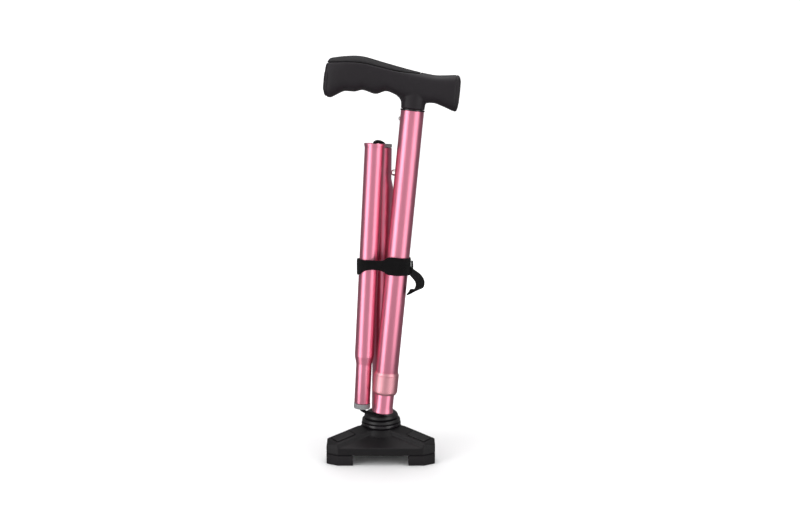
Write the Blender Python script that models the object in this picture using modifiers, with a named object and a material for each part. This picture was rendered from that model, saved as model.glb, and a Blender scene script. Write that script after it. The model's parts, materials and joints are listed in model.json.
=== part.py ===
"""Folding walking cane, folded and standing on its own three-foot base.

Run with: blender --background --python part.py

Three tube sections lie side by side. The lower section stands in the base, the middle
section hangs from the lower one's top, and the handle section rises from the middle one's
bottom end. Each section is modelled along its own local Z and is placed by an empty.
World +Z is up, +X runs along the handle's heel and +Y points to the rear foot.
"""

import math

import bmesh
import bpy
from mathutils import Matrix, Vector

MM = 0.001
GAP = 0.3 * MM  # between pieces that touch on the real cane

# Tubes
SECTION_OD = 19.05 * MM  # lower, middle and inner tubes
WALL = 1.2 * MM
SLIDE_CLEARANCE = 0.375 * MM  # inner tube in the outer one, on the radius
OUTER_OD = SECTION_OD + 2 * (WALL + SLIDE_CLEARANCE)  # height-adjusting tube under the handle
BELL_FLARE = 0.7 * MM  # how far a mouth is swelled, on the radius
BELL_LENGTH = 4.5 * MM
LIP_LENGTH = 1.2 * MM  # straight end of a swelled mouth
SWAGE_LENGTH = 8.0 * MM  # cone between a tube and its reduced tip
TIP_CLEARANCE = 0.55 * MM  # reduced tip in a mouth, on the radius
LOWER_LENGTH = 263.7 * MM  # from the neck collar to the end of the tip
LOWER_TIP = 30.5 * MM
MIDDLE_LENGTH = 256.0 * MM
MIDDLE_TIP = 39.5 * MM
END_RING = 3.6 * MM  # plastic ring that closes the lower tip
MIDDLE_END_RING = 6.6 * MM
END_RING_LIP = 0.25 * MM

# Handle section
COLLAR_START = 18.8 * MM  # from the inner tube's mouth
COLLAR_LENGTH = 22.2 * MM
COLLAR_OD = OUTER_OD + 2.4 * MM
COLLAR_CHAMFER = 1.3 * MM
COLLAR_FLOOR = 3.0 * MM  # thickness of the collar's inward lip
SLEEVE_SLOT = 1.2 * MM
INNER_LENGTH = 254.0 * MM
HANDLE_START = 297.3 * MM  # from the inner tube's mouth to the handle's neck
HOLE_PITCH = 25.4 * MM
HOLE_COUNT = 7
RIVET_DROP = 9.7 * MM  # under the handle's neck
RIVET_DIAMETER = 2.8 * MM
RIVET_LENGTH = 5.0 * MM
PLUG_REACH = 14.0 * MM  # how far the handle's plug reaches below its neck
BUTTON_DIAMETER = 6.4 * MM
BUTTON_HEIGHT = 4.2 * MM  # above the outer tube
BUTTON_TRAVEL = 4.6 * MM
BUTTON_START = 235.6 * MM  # from the inner tube's mouth
BUTTON_BACK = 20.0  # degrees behind the cane's left side
BUTTON_BASE = 2.4 * MM  # how far the button stands inside the bore
SPRING_LEAF = 0.7 * MM
SPRING_WIDTH = 5.0 * MM

# Folded bundle
LOWER_LEAN = 0.67  # degrees from upright
MIDDLE_LEAN = 3.0
HANDLE_LEAN = 5.62
BUNDLE_GAP = 0.5 * MM
MOUTH_STEP = 8.4 * MM  # lower tip to middle mouth, to the left
MOUTH_RISE = 1.0 * MM
HANDLE_MOUTH_DROP = 1.2 * MM
CORD_REACH = 8.0 * MM  # slack between a mouth and the tip it folds onto
CORD_DIAMETER = 3.2 * MM
CORD_STUB = 14.0 * MM  # length of fixed cord under the washer that anchors it
CORD_CLEARANCE = 6.0 * MM  # past a plugged-in tip, to where the fixed cord of the outer tube starts
TOP_LOOP_RISE = 4.6 * MM
BOTTOM_LOOP_DROP = 4.2 * MM

# Neck joint
PIVOT_HEIGHT = 36.0 * MM
NECK_COLLAR = 9.6 * MM  # pivot to the end of the lower tube
STEM_RADIUS = 5.0 * MM
GIMBAL_INNER = 7.6 * MM
GIMBAL_OUTER = 10.6 * MM
GIMBAL_HEIGHT = 3.6 * MM
PIN_RADIUS = 1.3 * MM
BOOT_WALL = 1.6 * MM
CUP_FLOOR = 3.2 * MM

# Base
LEG_REACH = 61.8 * MM  # centre to the point of a leg
LEG_SHOULDER = 55.4 * MM
LEG_HALF_WIDTH = 11.9 * MM
PAD_INNER = 42.1 * MM
PAD_HEIGHT = 10.0 * MM
SKIRT_HEIGHT = 7.5 * MM  # upright band above the pads
ARM_TIP_HEIGHT = 22.0 * MM
ARM_HUB_HEIGHT = 29.6 * MM
HUB_RADIUS = 21.0 * MM
HUB_HEIGHT = 30.6 * MM
SOCKET_RADIUS = 14.0 * MM
WELL_FLOOR = 20.5 * MM  # floor of the well that holds the socket
UNDERSIDE_HEIGHT = 17.0 * MM  # ceiling of the hollow under the base
ARM_INSET = 0.4 * MM  # each arm's upright sides stand this far inside its leg's
ARM_START = 2.0 * MM  # from the socket's wall to where an arm begins, inside the hub
ARM_NOSE = 2.5 * MM  # drop of an arm's top over its last stretch
LEG_ANGLES = {"left": 210.0, "right": 330.0, "rear": 90.0}

# Handle, measured from its neck along (X) and up (Z)
NECK_RADIUS = OUTER_OD / 2 + 0.2 * MM
SOCKET_DEPTH = 22.0 * MM
PAD_END = 4.3 * MM
CAP_RADIUS = 7.0 * MM
CAP_LENGTH = 5.0 * MM
CAP_PROUD = 1.2 * MM  # of the grip's left end
CAP_HEIGHT = 21.0 * MM

# Strap
STRAP_WIDTH = 15.6 * MM
STRAP_THICKNESS = 1.5 * MM
STRAP_HEIGHT = 146.0 * MM  # middle of the band, from the inner tube's mouth

SECTION_RADIUS = SECTION_OD / 2
BORE_RADIUS = SECTION_RADIUS - WALL
OUTER_RADIUS = OUTER_OD / 2
OUTER_BORE = OUTER_RADIUS - WALL
TIP_RADIUS = BORE_RADIUS - TIP_CLEARANCE
TIP_BORE = TIP_RADIUS - WALL
MOUTH_RADIUS = SECTION_RADIUS + BELL_FLARE
COLLAR_RADIUS = COLLAR_OD / 2
COLLAR_END = COLLAR_START + COLLAR_LENGTH
OUTER_START = COLLAR_START + 0.55 * COLLAR_LENGTH
CORD_RADIUS = CORD_DIAMETER / 2
BUTTON_FOOT = BORE_RADIUS - BUTTON_BASE  # from the tube's axis
MIDDLE_CORD_TOP = LOWER_TIP + END_RING + CORD_CLEARANCE  # under the middle tube's mouth
INNER_CORD_START = MIDDLE_TIP + MIDDLE_END_RING + CORD_CLEARANCE  # above the inner tube's mouth
LOWER_TOP = NECK_COLLAR + LOWER_LENGTH + END_RING  # from the pivot
MIDDLE_BOTTOM = -(MIDDLE_LENGTH + MIDDLE_END_RING)  # from the mouth

COLOURS = {
    "anodised": ((0.72, 0.22, 0.33), 0.28, 1.0),
    "collar": ((0.62, 0.25, 0.32), 0.45, 1.0),
    "black_plastic": ((0.022, 0.021, 0.023), 0.5, 0.0),
    "gloss_black": ((0.018, 0.018, 0.02), 0.2, 0.0),
    "rubber": ((0.025, 0.024, 0.026), 0.75, 0.0),
    "grey_plastic": ((0.42, 0.42, 0.43), 0.45, 0.0),
    "steel": ((0.62, 0.62, 0.6), 0.3, 1.0),
    "cord": ((0.012, 0.012, 0.013), 0.85, 0.0),
    "webbing": ((0.014, 0.014, 0.015), 0.9, 0.0),
}


def clear_scene():
    for obj in list(bpy.data.objects):
        bpy.data.objects.remove(obj, do_unlink=True)


def new_collection(name):
    made = bpy.data.collections.new(name)
    bpy.context.scene.collection.children.link(made)
    return made


def material(name):
    found = bpy.data.materials.get(name)
    if found:
        return found
    colour, roughness, metallic = COLOURS[name]
    made = bpy.data.materials.new(name)
    made.use_nodes = True
    shader = made.node_tree.nodes["Principled BSDF"]
    shader.inputs["Base Color"].default_value = (*colour, 1)
    shader.inputs["Roughness"].default_value = roughness
    shader.inputs["Metallic"].default_value = metallic
    return made


def empty(name, parent, location=(0, 0, 0), rotation=(0, 0, 0)):
    made = bpy.data.objects.new(name, None)
    PARTS.objects.link(made)
    made.parent = parent
    made.location = location
    made.rotation_euler = rotation
    return made


def place(obj, parent, finish):
    PARTS.objects.link(obj)
    obj.parent = parent
    obj.data.materials.clear()
    obj.data.materials.append(material(finish))
    return obj


def cutter(obj, parent):
    """Keep obj out of the build and let Booleans use it."""
    CUTTERS.objects.link(obj)
    obj.parent = parent
    obj.hide_render = True
    obj.display_type = "WIRE"
    return obj


def boolean(obj, other, operation="DIFFERENCE"):
    step = obj.modifiers.new(other.name, "BOOLEAN")
    step.operation = operation
    step.object = other
    step.solver = "EXACT"


def smooth(mesh, angle=35):
    mesh.shade_smooth()
    mesh.set_sharp_from_angle(angle=math.radians(angle))


def turned(name, profile, steps=32, closed=True):
    """Turn a profile of (radius, height) points about Z. It runs down the outer side first."""
    mesh = bpy.data.meshes.new(name)
    points = [(radius, 0, height) for radius, height in profile]
    edges = [(i, i + 1) for i in range(len(points) - 1)]
    if closed:
        edges.append((len(points) - 1, 0))
    mesh.from_pydata(points, edges, [])
    obj = bpy.data.objects.new(name, mesh)
    screw = obj.modifiers.new("Turn", "SCREW")
    screw.axis = "Z"
    screw.steps = steps
    screw.render_steps = steps
    screw.use_merge_vertices = True
    screw.merge_threshold = 0.00001
    screw.use_smooth_shade = True
    return obj


def solid_of_revolution(name, profile, steps=32):
    """A turned piece with no bore: the profile starts and ends on the axis."""
    return turned(name, profile, steps, closed=False)


def ring(name, outer, inner, low, high, steps=32):
    return turned(name, [(outer, high), (outer, low), (inner, low), (inner, high)], steps)


def rod(name, radius, length, steps=24):
    """A cylinder from z = 0 to z = length."""
    mesh = bpy.data.meshes.new(name)
    work = bmesh.new()
    bmesh.ops.create_cone(
        work,
        cap_ends=True,
        segments=steps,
        radius1=radius,
        radius2=radius,
        depth=length,
        matrix=Matrix.Translation((0, 0, length / 2)),
    )
    work.to_mesh(mesh)
    work.free()
    smooth(mesh)
    return bpy.data.objects.new(name, mesh)


def slab(name, outline, low, high):
    """A flat outline of (x, y) points, extruded from z = low to z = high, as a mesh."""
    curve = bpy.data.curves.new(name, "CURVE")
    curve.dimensions = "2D"
    curve.fill_mode = "BOTH"
    curve.extrude = (high - low) / 2
    spline = curve.splines.new("POLY")
    spline.points.add(len(outline) - 1)
    for point, (x, y) in zip(spline.points, outline):
        point.co = (x, y, 0, 1)
    spline.use_cyclic_u = True
    guide = bpy.data.objects.new(name, curve)
    CUTTERS.objects.link(guide)
    mesh = mesh_of(guide, name)
    mesh.transform(Matrix.Translation((0, 0, (low + high) / 2)))
    return bpy.data.objects.new(name, mesh)


def mesh_of(guide, name):
    """The evaluated mesh of a curve object, welded, with the curve removed."""
    bpy.context.view_layer.update()
    graph = bpy.context.evaluated_depsgraph_get()
    mesh = bpy.data.meshes.new_from_object(guide.evaluated_get(graph))
    work = bmesh.new()
    work.from_mesh(mesh)
    bmesh.ops.remove_doubles(work, verts=work.verts, dist=0.000001)
    bmesh.ops.recalc_face_normals(work, faces=work.faces)
    work.to_mesh(mesh)
    work.free()
    mesh.name = name
    curve = guide.data
    bpy.data.objects.remove(guide, do_unlink=True)
    bpy.data.curves.remove(curve)
    return mesh


def cord(name, points, parent, finish="cord", radius=None):
    """A round cord along a list of points."""
    curve = bpy.data.curves.new(name, "CURVE")
    curve.dimensions = "3D"
    curve.bevel_depth = radius or CORD_RADIUS
    curve.bevel_resolution = 2
    curve.use_fill_caps = True
    spline = curve.splines.new("POLY")
    spline.points.add(len(points) - 1)
    for point, place_at in zip(spline.points, points):
        point.co = (*place_at, 1)
    return place(bpy.data.objects.new(name, curve), parent, finish)


def bevel(obj, width, segments=2, angle=40):
    step = obj.modifiers.new("Rounding", "BEVEL")
    step.width = width
    step.segments = segments
    step.limit_method = "ANGLE"
    step.angle_limit = math.radians(angle)


def catmull_rom(a, b, c, d, t):
    """The value at t, from 0 at b to 1 at c, of a curve through four values in a row."""
    square = 2 * a - 5 * b + 4 * c - d
    cube = 3 * b - a - 3 * c + d
    return 0.5 * (2 * b + (c - a) * t + square * t**2 + cube * t**3)


def smooth_line(points, steps):
    """Points along a Catmull-Rom curve through the given ones, steps to each span."""
    ends = [points[0], *points, points[-1]]
    line = []
    for span in zip(ends, ends[1:], ends[2:], ends[3:]):
        for i in range(steps):
            line.append(tuple(catmull_rom(*values, i / steps) for values in zip(*span)))
    line.append(tuple(points[-1]))
    return line


def height_at(line, x):
    """The height of a line of (x, z) points at x."""
    for (x0, z0), (x1, z1) in zip(line, line[1:]):
        if x0 <= x <= x1:
            return z0 + (z1 - z0) * (x - x0) / (x1 - x0)
    return line[0][1] if x < line[0][0] else line[-1][1]


def side_step(distance, across):
    """How far apart two axes must be one way when they are `across` apart the other way."""
    return math.sqrt(max(distance**2 - across**2, 0))


def fold_hinge(tip, tip_axis, mouth, mouth_axis):
    """Pivot, axis and angle of the turn that puts a mouth over a tip, with slack cord between.

    The mouth ends up CORD_REACH beyond the tip, in line with it and facing it.
    """
    target = tip + CORD_REACH * tip_axis
    axis = (mouth_axis + tip_axis).cross(target - mouth).normalized()
    cosine = -mouth_axis.dot(tip_axis)
    sine = mouth_axis.cross(-tip_axis).dot(axis)
    angle = math.atan2(sine, cosine) % (2 * math.pi)
    middle = (mouth + target) / 2
    pivot = middle + axis.cross(target - mouth) / (2 * math.tan(angle / 2))
    return pivot, axis, angle


def lean_axis(degrees):
    return Vector((math.sin(math.radians(degrees)), 0, math.cos(math.radians(degrees))))


def slope(degrees):
    """How far a leaning axis moves to the right for each metre up."""
    return math.tan(math.radians(degrees))


def frames():
    """Empties for every moving body, and the folds' geometry, from the driving sizes."""
    found = {}
    root = empty("cane_origin", None)
    found["base"] = root
    neck = empty("neck_pivot", root, (0, 0, PIVOT_HEIGHT))
    found["gimbal"] = neck
    lower = empty("lower_axis", neck, (0, 0, 0), (0, math.radians(LOWER_LEAN), 0))
    found["lower"] = lower
    up_lower = lean_axis(LOWER_LEAN)
    up_middle = lean_axis(MIDDLE_LEAN)
    up_handle = lean_axis(HANDLE_LEAN)
    pivot = Vector((0, 0, PIVOT_HEIGHT))
    tip = pivot + LOWER_TOP * up_lower
    # The two tubes are nearest where the lower one reaches its full diameter.
    drop = END_RING + LOWER_TIP + SWAGE_LENGTH
    across = MOUTH_STEP + drop * (slope(MIDDLE_LEAN) - slope(LOWER_LEAN))
    middle_y = -side_step(SECTION_OD + 2 * BUNDLE_GAP, across)
    mouth = Vector((tip.x - MOUTH_STEP, middle_y, tip.z + MOUTH_RISE))
    found["middle"] = empty("middle_axis", root, mouth, (0, math.radians(MIDDLE_LEAN), 0))
    tail = mouth + MIDDLE_BOTTOM * up_middle
    # The collar passes both other tubes when the middle section is pulled on or off.
    reach = COLLAR_RADIUS + SECTION_RADIUS + BUNDLE_GAP
    handle_y = -reach
    lift = HANDLE_MOUTH_DROP + COLLAR_START
    lean = lift * (slope(HANDLE_LEAN) - slope(MIDDLE_LEAN))
    handle_x = tail.x + side_step(reach, handle_y - middle_y) - lean
    handle_mouth = Vector((handle_x, handle_y, tail.z - HANDLE_MOUTH_DROP))
    found["inner"] = empty("handle_axis", root, handle_mouth, (0, math.radians(HANDLE_LEAN), 0))
    top = fold_hinge(tip, up_lower, mouth, up_middle)
    bottom = fold_hinge(tail, -up_middle, handle_mouth, -up_handle)
    for name, (hinge, axis, _) in (("top_hinge", top), ("bottom_hinge", bottom)):
        found[name] = empty("fold_" + name, root, hinge, axis.to_track_quat("Z", "Y").to_euler())
    found["button"] = empty(
        "button_axis",
        found["inner"],
        (0, 0, BUTTON_START),
        (0, math.radians(-90), math.radians(-BUTTON_BACK)),
    )
    found["angles"] = (top[2], bottom[2])
    found["points"] = {"tip": tip, "mouth": mouth, "tail": tail, "handle_mouth": handle_mouth}
    return found


def leg_outline(inner, spread):
    """Outline of a leg's foot, along X, from `inner` out to its point."""
    half = LEG_HALF_WIDTH
    return [(inner, -spread), (LEG_SHOULDER, -half), (LEG_REACH, 0), (LEG_SHOULDER, half), (inner, spread)]


def spin(points, degrees):
    c, s = math.cos(math.radians(degrees)), math.sin(math.radians(degrees))
    return [(x * c - y * s, x * s + y * c) for x, y in points]


def base_outline():
    """Plan of the base: a triangle whose corners are cut to the legs' ends."""
    outline = []
    for degrees in sorted(LEG_ANGLES.values()):
        outline += spin(leg_outline(LEG_SHOULDER, LEG_HALF_WIDTH)[1:4], degrees)
    return outline


def hub_loft(name):
    """Body of the base: from the plan outline at the skirt to the round hub."""
    outline = base_outline()
    hub = [(HUB_RADIUS * Vector(point).normalized()) for point in outline]
    rows = [
        [(x, y, PAD_HEIGHT) for x, y in outline],
        [(x, y, PAD_HEIGHT + SKIRT_HEIGHT) for x, y in outline],
        [(x, y, ARM_HUB_HEIGHT - 2.2 * MM) for x, y in hub],
    ]
    return loft(name, rows)


def loft(name, rows):
    """Skin through rows of points of equal count, capped at both ends."""
    count = len(rows[0])
    points = [point for row in rows for point in row]
    faces = [tuple(reversed(range(count)))]
    for r in range(len(rows) - 1):
        for i in range(count):
            j = (i + 1) % count
            faces.append((r * count + i, r * count + j, (r + 1) * count + j, (r + 1) * count + i))
    faces.append(tuple(range((len(rows) - 1) * count, len(rows) * count)))
    mesh = bpy.data.meshes.new(name)
    mesh.from_pydata(points, [], faces)
    work = bmesh.new()
    work.from_mesh(mesh)
    bmesh.ops.recalc_face_normals(work, faces=work.faces)
    work.to_mesh(mesh)
    work.free()
    smooth(mesh)
    return bpy.data.objects.new(name, mesh)


def arm_top(along):
    """Height of an arm's flat top at a distance from the centre."""
    share = (along - HUB_RADIUS) / (LEG_SHOULDER - HUB_RADIUS)
    return ARM_HUB_HEIGHT + share * (ARM_TIP_HEIGHT - ARM_HUB_HEIGHT)


ARM_SLOPE = math.atan2(ARM_HUB_HEIGHT - ARM_TIP_HEIGHT, LEG_SHOULDER - HUB_RADIUS)
INSERT_LENGTH = 20.0 * MM
INSERT_WIDTH = 13.0 * MM
INSERT_CENTRE = 43.0 * MM
INSERT_DEPTH = 1.2 * MM
INSERT_PROUD = 0.5 * MM


def insert_plate(name, degrees, grow):
    """A plate let into an arm's sloping top. It is larger by `grow` all round as a cutter."""
    x, y = INSERT_LENGTH / 2 + grow, INSERT_WIDTH / 2 + grow
    high = INSERT_PROUD if not grow else 2 * INSERT_PROUD
    plate = slab(name, [(-x, -y), (x, -y), (x, y), (-x, y)], -INSERT_DEPTH - grow, high)
    turn = Matrix.Rotation(math.radians(degrees), 4, "Z")
    seat = Matrix.Translation((INSERT_CENTRE, 0, arm_top(INSERT_CENTRE)))
    plate.data.transform(turn @ seat @ Matrix.Rotation(ARM_SLOPE, 4, "Y"))
    return plate


def make_base(parent):
    body = hub_loft("base_body")
    place(body, parent, "black_plastic")
    start = SOCKET_RADIUS + ARM_START
    inside = 1 - ARM_INSET / LEG_REACH
    outline = [(x * inside, y * inside) for x, y in base_outline()]
    outline_cutter = cutter(slab("base_outline", outline, 0, 2 * HUB_HEIGHT), parent)
    for side, degrees in LEG_ANGLES.items():
        profile = [
            (start, PAD_HEIGHT + ARM_INSET),
            (2 * LEG_REACH, PAD_HEIGHT + ARM_INSET),
            (2 * LEG_REACH, ARM_TIP_HEIGHT - ARM_NOSE),
            (LEG_REACH, ARM_TIP_HEIGHT - ARM_NOSE),
            (LEG_SHOULDER, ARM_TIP_HEIGHT),
            (HUB_RADIUS, ARM_HUB_HEIGHT),
            (start, ARM_HUB_HEIGHT),
        ]
        half = LEG_HALF_WIDTH - ARM_INSET
        arm = slab("arm_" + side, profile, -half, half)
        upright = Matrix.Rotation(math.radians(90), 4, "X")
        arm.data.transform(Matrix.Rotation(math.radians(degrees), 4, "Z") @ upright)
        boolean(cutter(arm, parent), outline_cutter, "INTERSECT")
        boolean(body, arm, "UNION")
    hub = solid_of_revolution(
        "hub",
        [(0, HUB_HEIGHT), (HUB_RADIUS - 2.0 * MM, HUB_HEIGHT)]
        + [(HUB_RADIUS - 0.6 * MM, HUB_HEIGHT - 0.7 * MM), (HUB_RADIUS, HUB_HEIGHT - 2.2 * MM)]
        + [(HUB_RADIUS + 1.2 * MM, HUB_HEIGHT - 4 * MM)]
        + [(HUB_RADIUS + 1.2 * MM, PAD_HEIGHT + 2 * ARM_INSET), (0, PAD_HEIGHT + 2 * ARM_INSET)],
        48,
    )
    boolean(body, cutter(hub, parent), "UNION")
    hollow = solid_of_revolution(
        "underside",
        [(0, UNDERSIDE_HEIGHT), (25.0 * MM, UNDERSIDE_HEIGHT)]
        + [(33.0 * MM, PAD_HEIGHT - 2 * MM), (0, PAD_HEIGHT - 2 * MM)],
    )
    boolean(body, cutter(hollow, parent))
    well = cutter(rod("socket_well", SOCKET_RADIUS + GAP, HUB_HEIGHT, 32), parent)
    well.location.z = WELL_FLOOR
    boolean(body, well)
    for side, degrees in LEG_ANGLES.items():
        boolean(body, cutter(insert_plate("insert_seat_" + side, degrees, GAP), parent))
        insert = place(insert_plate("arm_insert_" + side, degrees, 0.0), parent, "rubber")
        bevel(insert, 0.3 * MM, 1)
        inner_spread = LEG_HALF_WIDTH + (LEG_SHOULDER - PAD_INNER) / math.sqrt(3)
        outline = spin(leg_outline(PAD_INNER, inner_spread), degrees)
        pad = slab("foot_pad_" + side, outline, 0, PAD_HEIGHT - GAP)
        bevel(place(pad, parent, "rubber"), 0.8 * MM, 2)


def make_neck(found):
    base, gimbal, lower = found["base"], found["gimbal"], found["lower"]
    floor = WELL_FLOOR + GAP - PIVOT_HEIGHT
    top = HUB_HEIGHT - PIVOT_HEIGHT
    ear_height = 3.2 * MM
    # Cup with two ears that hold the gimbal's pins, front and rear.
    bore = GIMBAL_OUTER + 0.9 * MM
    wall = [(0, floor + CUP_FLOOR), (bore, floor + CUP_FLOOR), (bore, ear_height)]
    wall += [(SOCKET_RADIUS, ear_height), (SOCKET_RADIUS, floor), (0, floor)]
    cup = place(solid_of_revolution("socket_cup", wall, 40), base, "black_plastic")
    cup.location.z = PIVOT_HEIGHT
    side = 2 * SOCKET_RADIUS
    notch = slab("ear_notch", [(-side, -5 * MM), (side, -5 * MM), (side, 5 * MM), (-side, 5 * MM)], 0, side)
    notch.location = (0, 0, PIVOT_HEIGHT - 4.2 * MM)
    boolean(cup, cutter(notch, base))
    pin_bore = rod("pin_bore", PIN_RADIUS + GAP, 4 * SOCKET_RADIUS)
    along_y = Matrix.Rotation(math.radians(90), 4, "X")
    along_x = Matrix.Rotation(math.radians(90), 4, "Y")
    pin_bore.data.transform(Matrix.Translation((0, 2 * SOCKET_RADIUS, 0)) @ along_y)
    pin_bore.location.z = PIVOT_HEIGHT
    boolean(cup, cutter(pin_bore, base))

    band = [(19.3, 3.6), (19.7, 3.0), (19.7, 0.9), (19.3, 0.3)]
    profile = [(r * MM, h * MM + top) for r, h in band]
    inner = SOCKET_RADIUS + GAP
    retaining = turned("retaining_ring", [*profile, (inner, profile[-1][1]), (inner, profile[0][1])], 48)
    place(retaining, base, "gloss_black").location.z = PIVOT_HEIGHT

    cross = ring("gimbal_ring", GIMBAL_OUTER, GIMBAL_INNER, -GIMBAL_HEIGHT / 2, GIMBAL_HEIGHT / 2, 32)
    place(cross, gimbal, "steel")
    reach = SOCKET_RADIUS - 0.5 * MM
    pins = rod("gimbal_pins", PIN_RADIUS, 2 * reach)
    pins.data.transform(Matrix.Translation((0, reach, 0)) @ along_y)
    stem_pin = rod("stem_pin_cutter", PIN_RADIUS, 2 * GIMBAL_OUTER)
    stem_pin.data.transform(Matrix.Translation((-GIMBAL_OUTER, 0, 0)) @ along_x)
    centre = rod("gimbal_centre", GIMBAL_INNER, 4 * GIMBAL_HEIGHT)
    centre.location.z = -2 * GIMBAL_HEIGHT
    boolean(cross, cutter(pins, gimbal), "UNION")
    boolean(cross, cutter(centre, gimbal))
    boolean(cross, cutter(stem_pin, gimbal), "UNION")

    stem = solid_of_revolution(
        "neck_stem",
        [(0, NECK_COLLAR + 16 * MM), (BORE_RADIUS - GAP, NECK_COLLAR + 16 * MM)]
        + [(BORE_RADIUS - GAP, NECK_COLLAR), (SECTION_RADIUS, NECK_COLLAR - GAP)]
        + [(SECTION_RADIUS, NECK_COLLAR - 3 * MM)]
        + [(STEM_RADIUS, NECK_COLLAR - 5 * MM), (STEM_RADIUS, -4 * MM), (0, -4.6 * MM)],
        32,
    )
    place(stem, lower, "steel")
    bore = rod("stem_bore", PIN_RADIUS + GAP, 4 * STEM_RADIUS)
    bore.data.transform(Matrix.Translation((-2 * STEM_RADIUS, 0, 0)) @ along_x)
    boolean(stem, cutter(bore, lower))
    eye = rod("cord_eye", CORD_RADIUS + GAP, 14 * MM)
    eye.location.z = NECK_COLLAR + 4 * MM
    boolean(stem, cutter(eye, lower))

    # Rubber boot in two steps; it bends when the neck tilts.
    start = profile[0][1] + GAP
    lower_step = [(18.9, 3.2), (19.1, 2.6), (18.9, 0.6), (18.2, 0.0)]
    outline = [(r * MM, h * MM + start) for r, h in lower_step]
    inside = [(SOCKET_RADIUS + GAP, outline[-1][1]), (SOCKET_RADIUS + GAP, outline[0][1])]
    low_boot = turned("neck_boot_lower", outline + inside, 48)
    place(low_boot, gimbal, "rubber")
    start = outline[0][1] + GAP
    rise = NECK_COLLAR - start
    crown = SECTION_RADIUS + GAP + BOOT_WALL
    upper_step = [(crown, start + rise), (15.6 * MM, start + 0.56 * rise)]
    upper_step += [(16.6 * MM, start + 0.42 * rise), (17.0 * MM, start + 0.1 * rise), (16.6 * MM, start)]
    inside = [(SOCKET_RADIUS + GAP, start), (SOCKET_RADIUS + GAP, start + 0.2 * rise)]
    inside += [(SECTION_RADIUS + GAP, start + rise - BOOT_WALL), (SECTION_RADIUS + GAP, start + rise)]
    place(turned("neck_boot_upper", upper_step + inside, 48), lower, "rubber")


def tube_profile(mouth, tip_end, tip_length):
    """Wall of a section tube, from a swelled mouth at the top to a reduced tip below it."""
    lip, bell = mouth - LIP_LENGTH, mouth - BELL_LENGTH
    cone = tip_end + tip_length
    full = cone + SWAGE_LENGTH
    outer = [(MOUTH_RADIUS, mouth), (MOUTH_RADIUS, lip), (SECTION_RADIUS, bell)]
    outer += [(SECTION_RADIUS, full), (TIP_RADIUS, cone), (TIP_RADIUS, tip_end)]
    inner = [(TIP_BORE, tip_end), (TIP_BORE, cone), (BORE_RADIUS, full), (BORE_RADIUS, bell)]
    inner += [(MOUTH_RADIUS - WALL, lip), (MOUTH_RADIUS - WALL, mouth)]
    return outer + inner


def end_ring(name, end, length, parent, up=1):
    """Plastic ring that closes a tip, with a spigot inside the tube and a hole for the cord."""
    outer, spigot, hole = TIP_RADIUS + END_RING_LIP, TIP_BORE - GAP, CORD_RADIUS + GAP
    steps = [(outer - 0.5 * MM, length), (outer, length - 0.5 * MM), (outer, GAP), (spigot, GAP)]
    steps += [(spigot, -6 * MM), (hole, -6 * MM), (hole, length)]
    if up < 0:
        steps = [(r, -h) for r, h in reversed(steps)]
    place(turned(name, steps, 28), parent, "grey_plastic").location.z = end


def make_lower(found):
    parent = found["lower"]
    end = NECK_COLLAR + LOWER_LENGTH
    cone = end - LOWER_TIP
    wall = [(TIP_RADIUS, end), (TIP_RADIUS, cone), (SECTION_RADIUS, cone - SWAGE_LENGTH)]
    wall += [(SECTION_RADIUS, NECK_COLLAR), (BORE_RADIUS, NECK_COLLAR)]
    wall += [(BORE_RADIUS, cone - SWAGE_LENGTH), (TIP_BORE, cone), (TIP_BORE, end)]
    place(turned("lower_tube", wall), parent, "anodised")
    end_ring("lower_end_ring", end, END_RING, parent)
    cord("lower_cord", [(0, 0, NECK_COLLAR + 6 * MM), (0, 0, end + END_RING - GAP)], parent)


def make_middle(found):
    parent = found["middle"]
    place(turned("middle_tube", tube_profile(0, -MIDDLE_LENGTH, MIDDLE_TIP)), parent, "anodised")
    end_ring("middle_end_ring", -MIDDLE_LENGTH, MIDDLE_END_RING, parent, -1)
    cord("middle_cord", [(0, 0, MIDDLE_BOTTOM + GAP), (0, 0, -MIDDLE_CORD_TOP)], parent)


def loop_points(mouth, mouth_axis, depth, end, end_axis, hump):
    """Points of a cord that runs up inside a mouth, loops over and goes into a tip's ring."""
    rise = mouth_axis * hump
    drop = end_axis * hump
    inside = [mouth - mouth_axis * depth * share for share in (1, 0.7, 0.4, 0.15, 0.05)]
    loop = [mouth + rise * 0.3, mouth.lerp(end, 0.3) + rise, mouth.lerp(end, 0.7) + drop]
    return smooth_line([tuple(point) for point in (*inside, *loop, end + drop * 0.55, end)], 4)


def make_loops(found):
    points = found["points"]
    lower, middle = lean_axis(LOWER_LEAN), lean_axis(MIDDLE_LEAN)
    handle = lean_axis(HANDLE_LEAN)
    end = points["tip"] + lower * GAP
    loop = loop_points(points["mouth"], middle, MIDDLE_CORD_TOP - GAP, end, lower, TOP_LOOP_RISE)
    hinge = found["top_hinge"]
    cord("top_cord_loop", local_points(loop, hinge), hinge)
    end = points["tail"] - middle * GAP
    depth = INNER_CORD_START - GAP
    loop = loop_points(points["handle_mouth"], -handle, depth, end, -middle, BOTTOM_LOOP_DROP)
    hinge = found["bottom_hinge"]
    cord("bottom_cord_loop", local_points(loop, hinge), hinge)


def local_points(line, frame):
    """World points, in the local space of an empty that sits under the root."""
    inverse = (Matrix.Translation(frame.location) @ frame.rotation_euler.to_matrix().to_4x4()).inverted()
    return [tuple(inverse @ Vector(point)) for point in line]


def radial_rod(name, radius, inner, outer, height, parent, steps=20):
    """A cylinder that points out of the tube on the button's side."""
    made = rod(name, radius, outer - inner, steps)
    made.data.transform(Matrix.Translation((0, 0, inner)))
    made.data.transform(Matrix.Rotation(math.radians(-90), 4, "Y"))
    made.data.transform(Matrix.Rotation(math.radians(-BUTTON_BACK), 4, "Z"))
    made.location.z = height
    made.parent = parent
    return made


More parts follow.
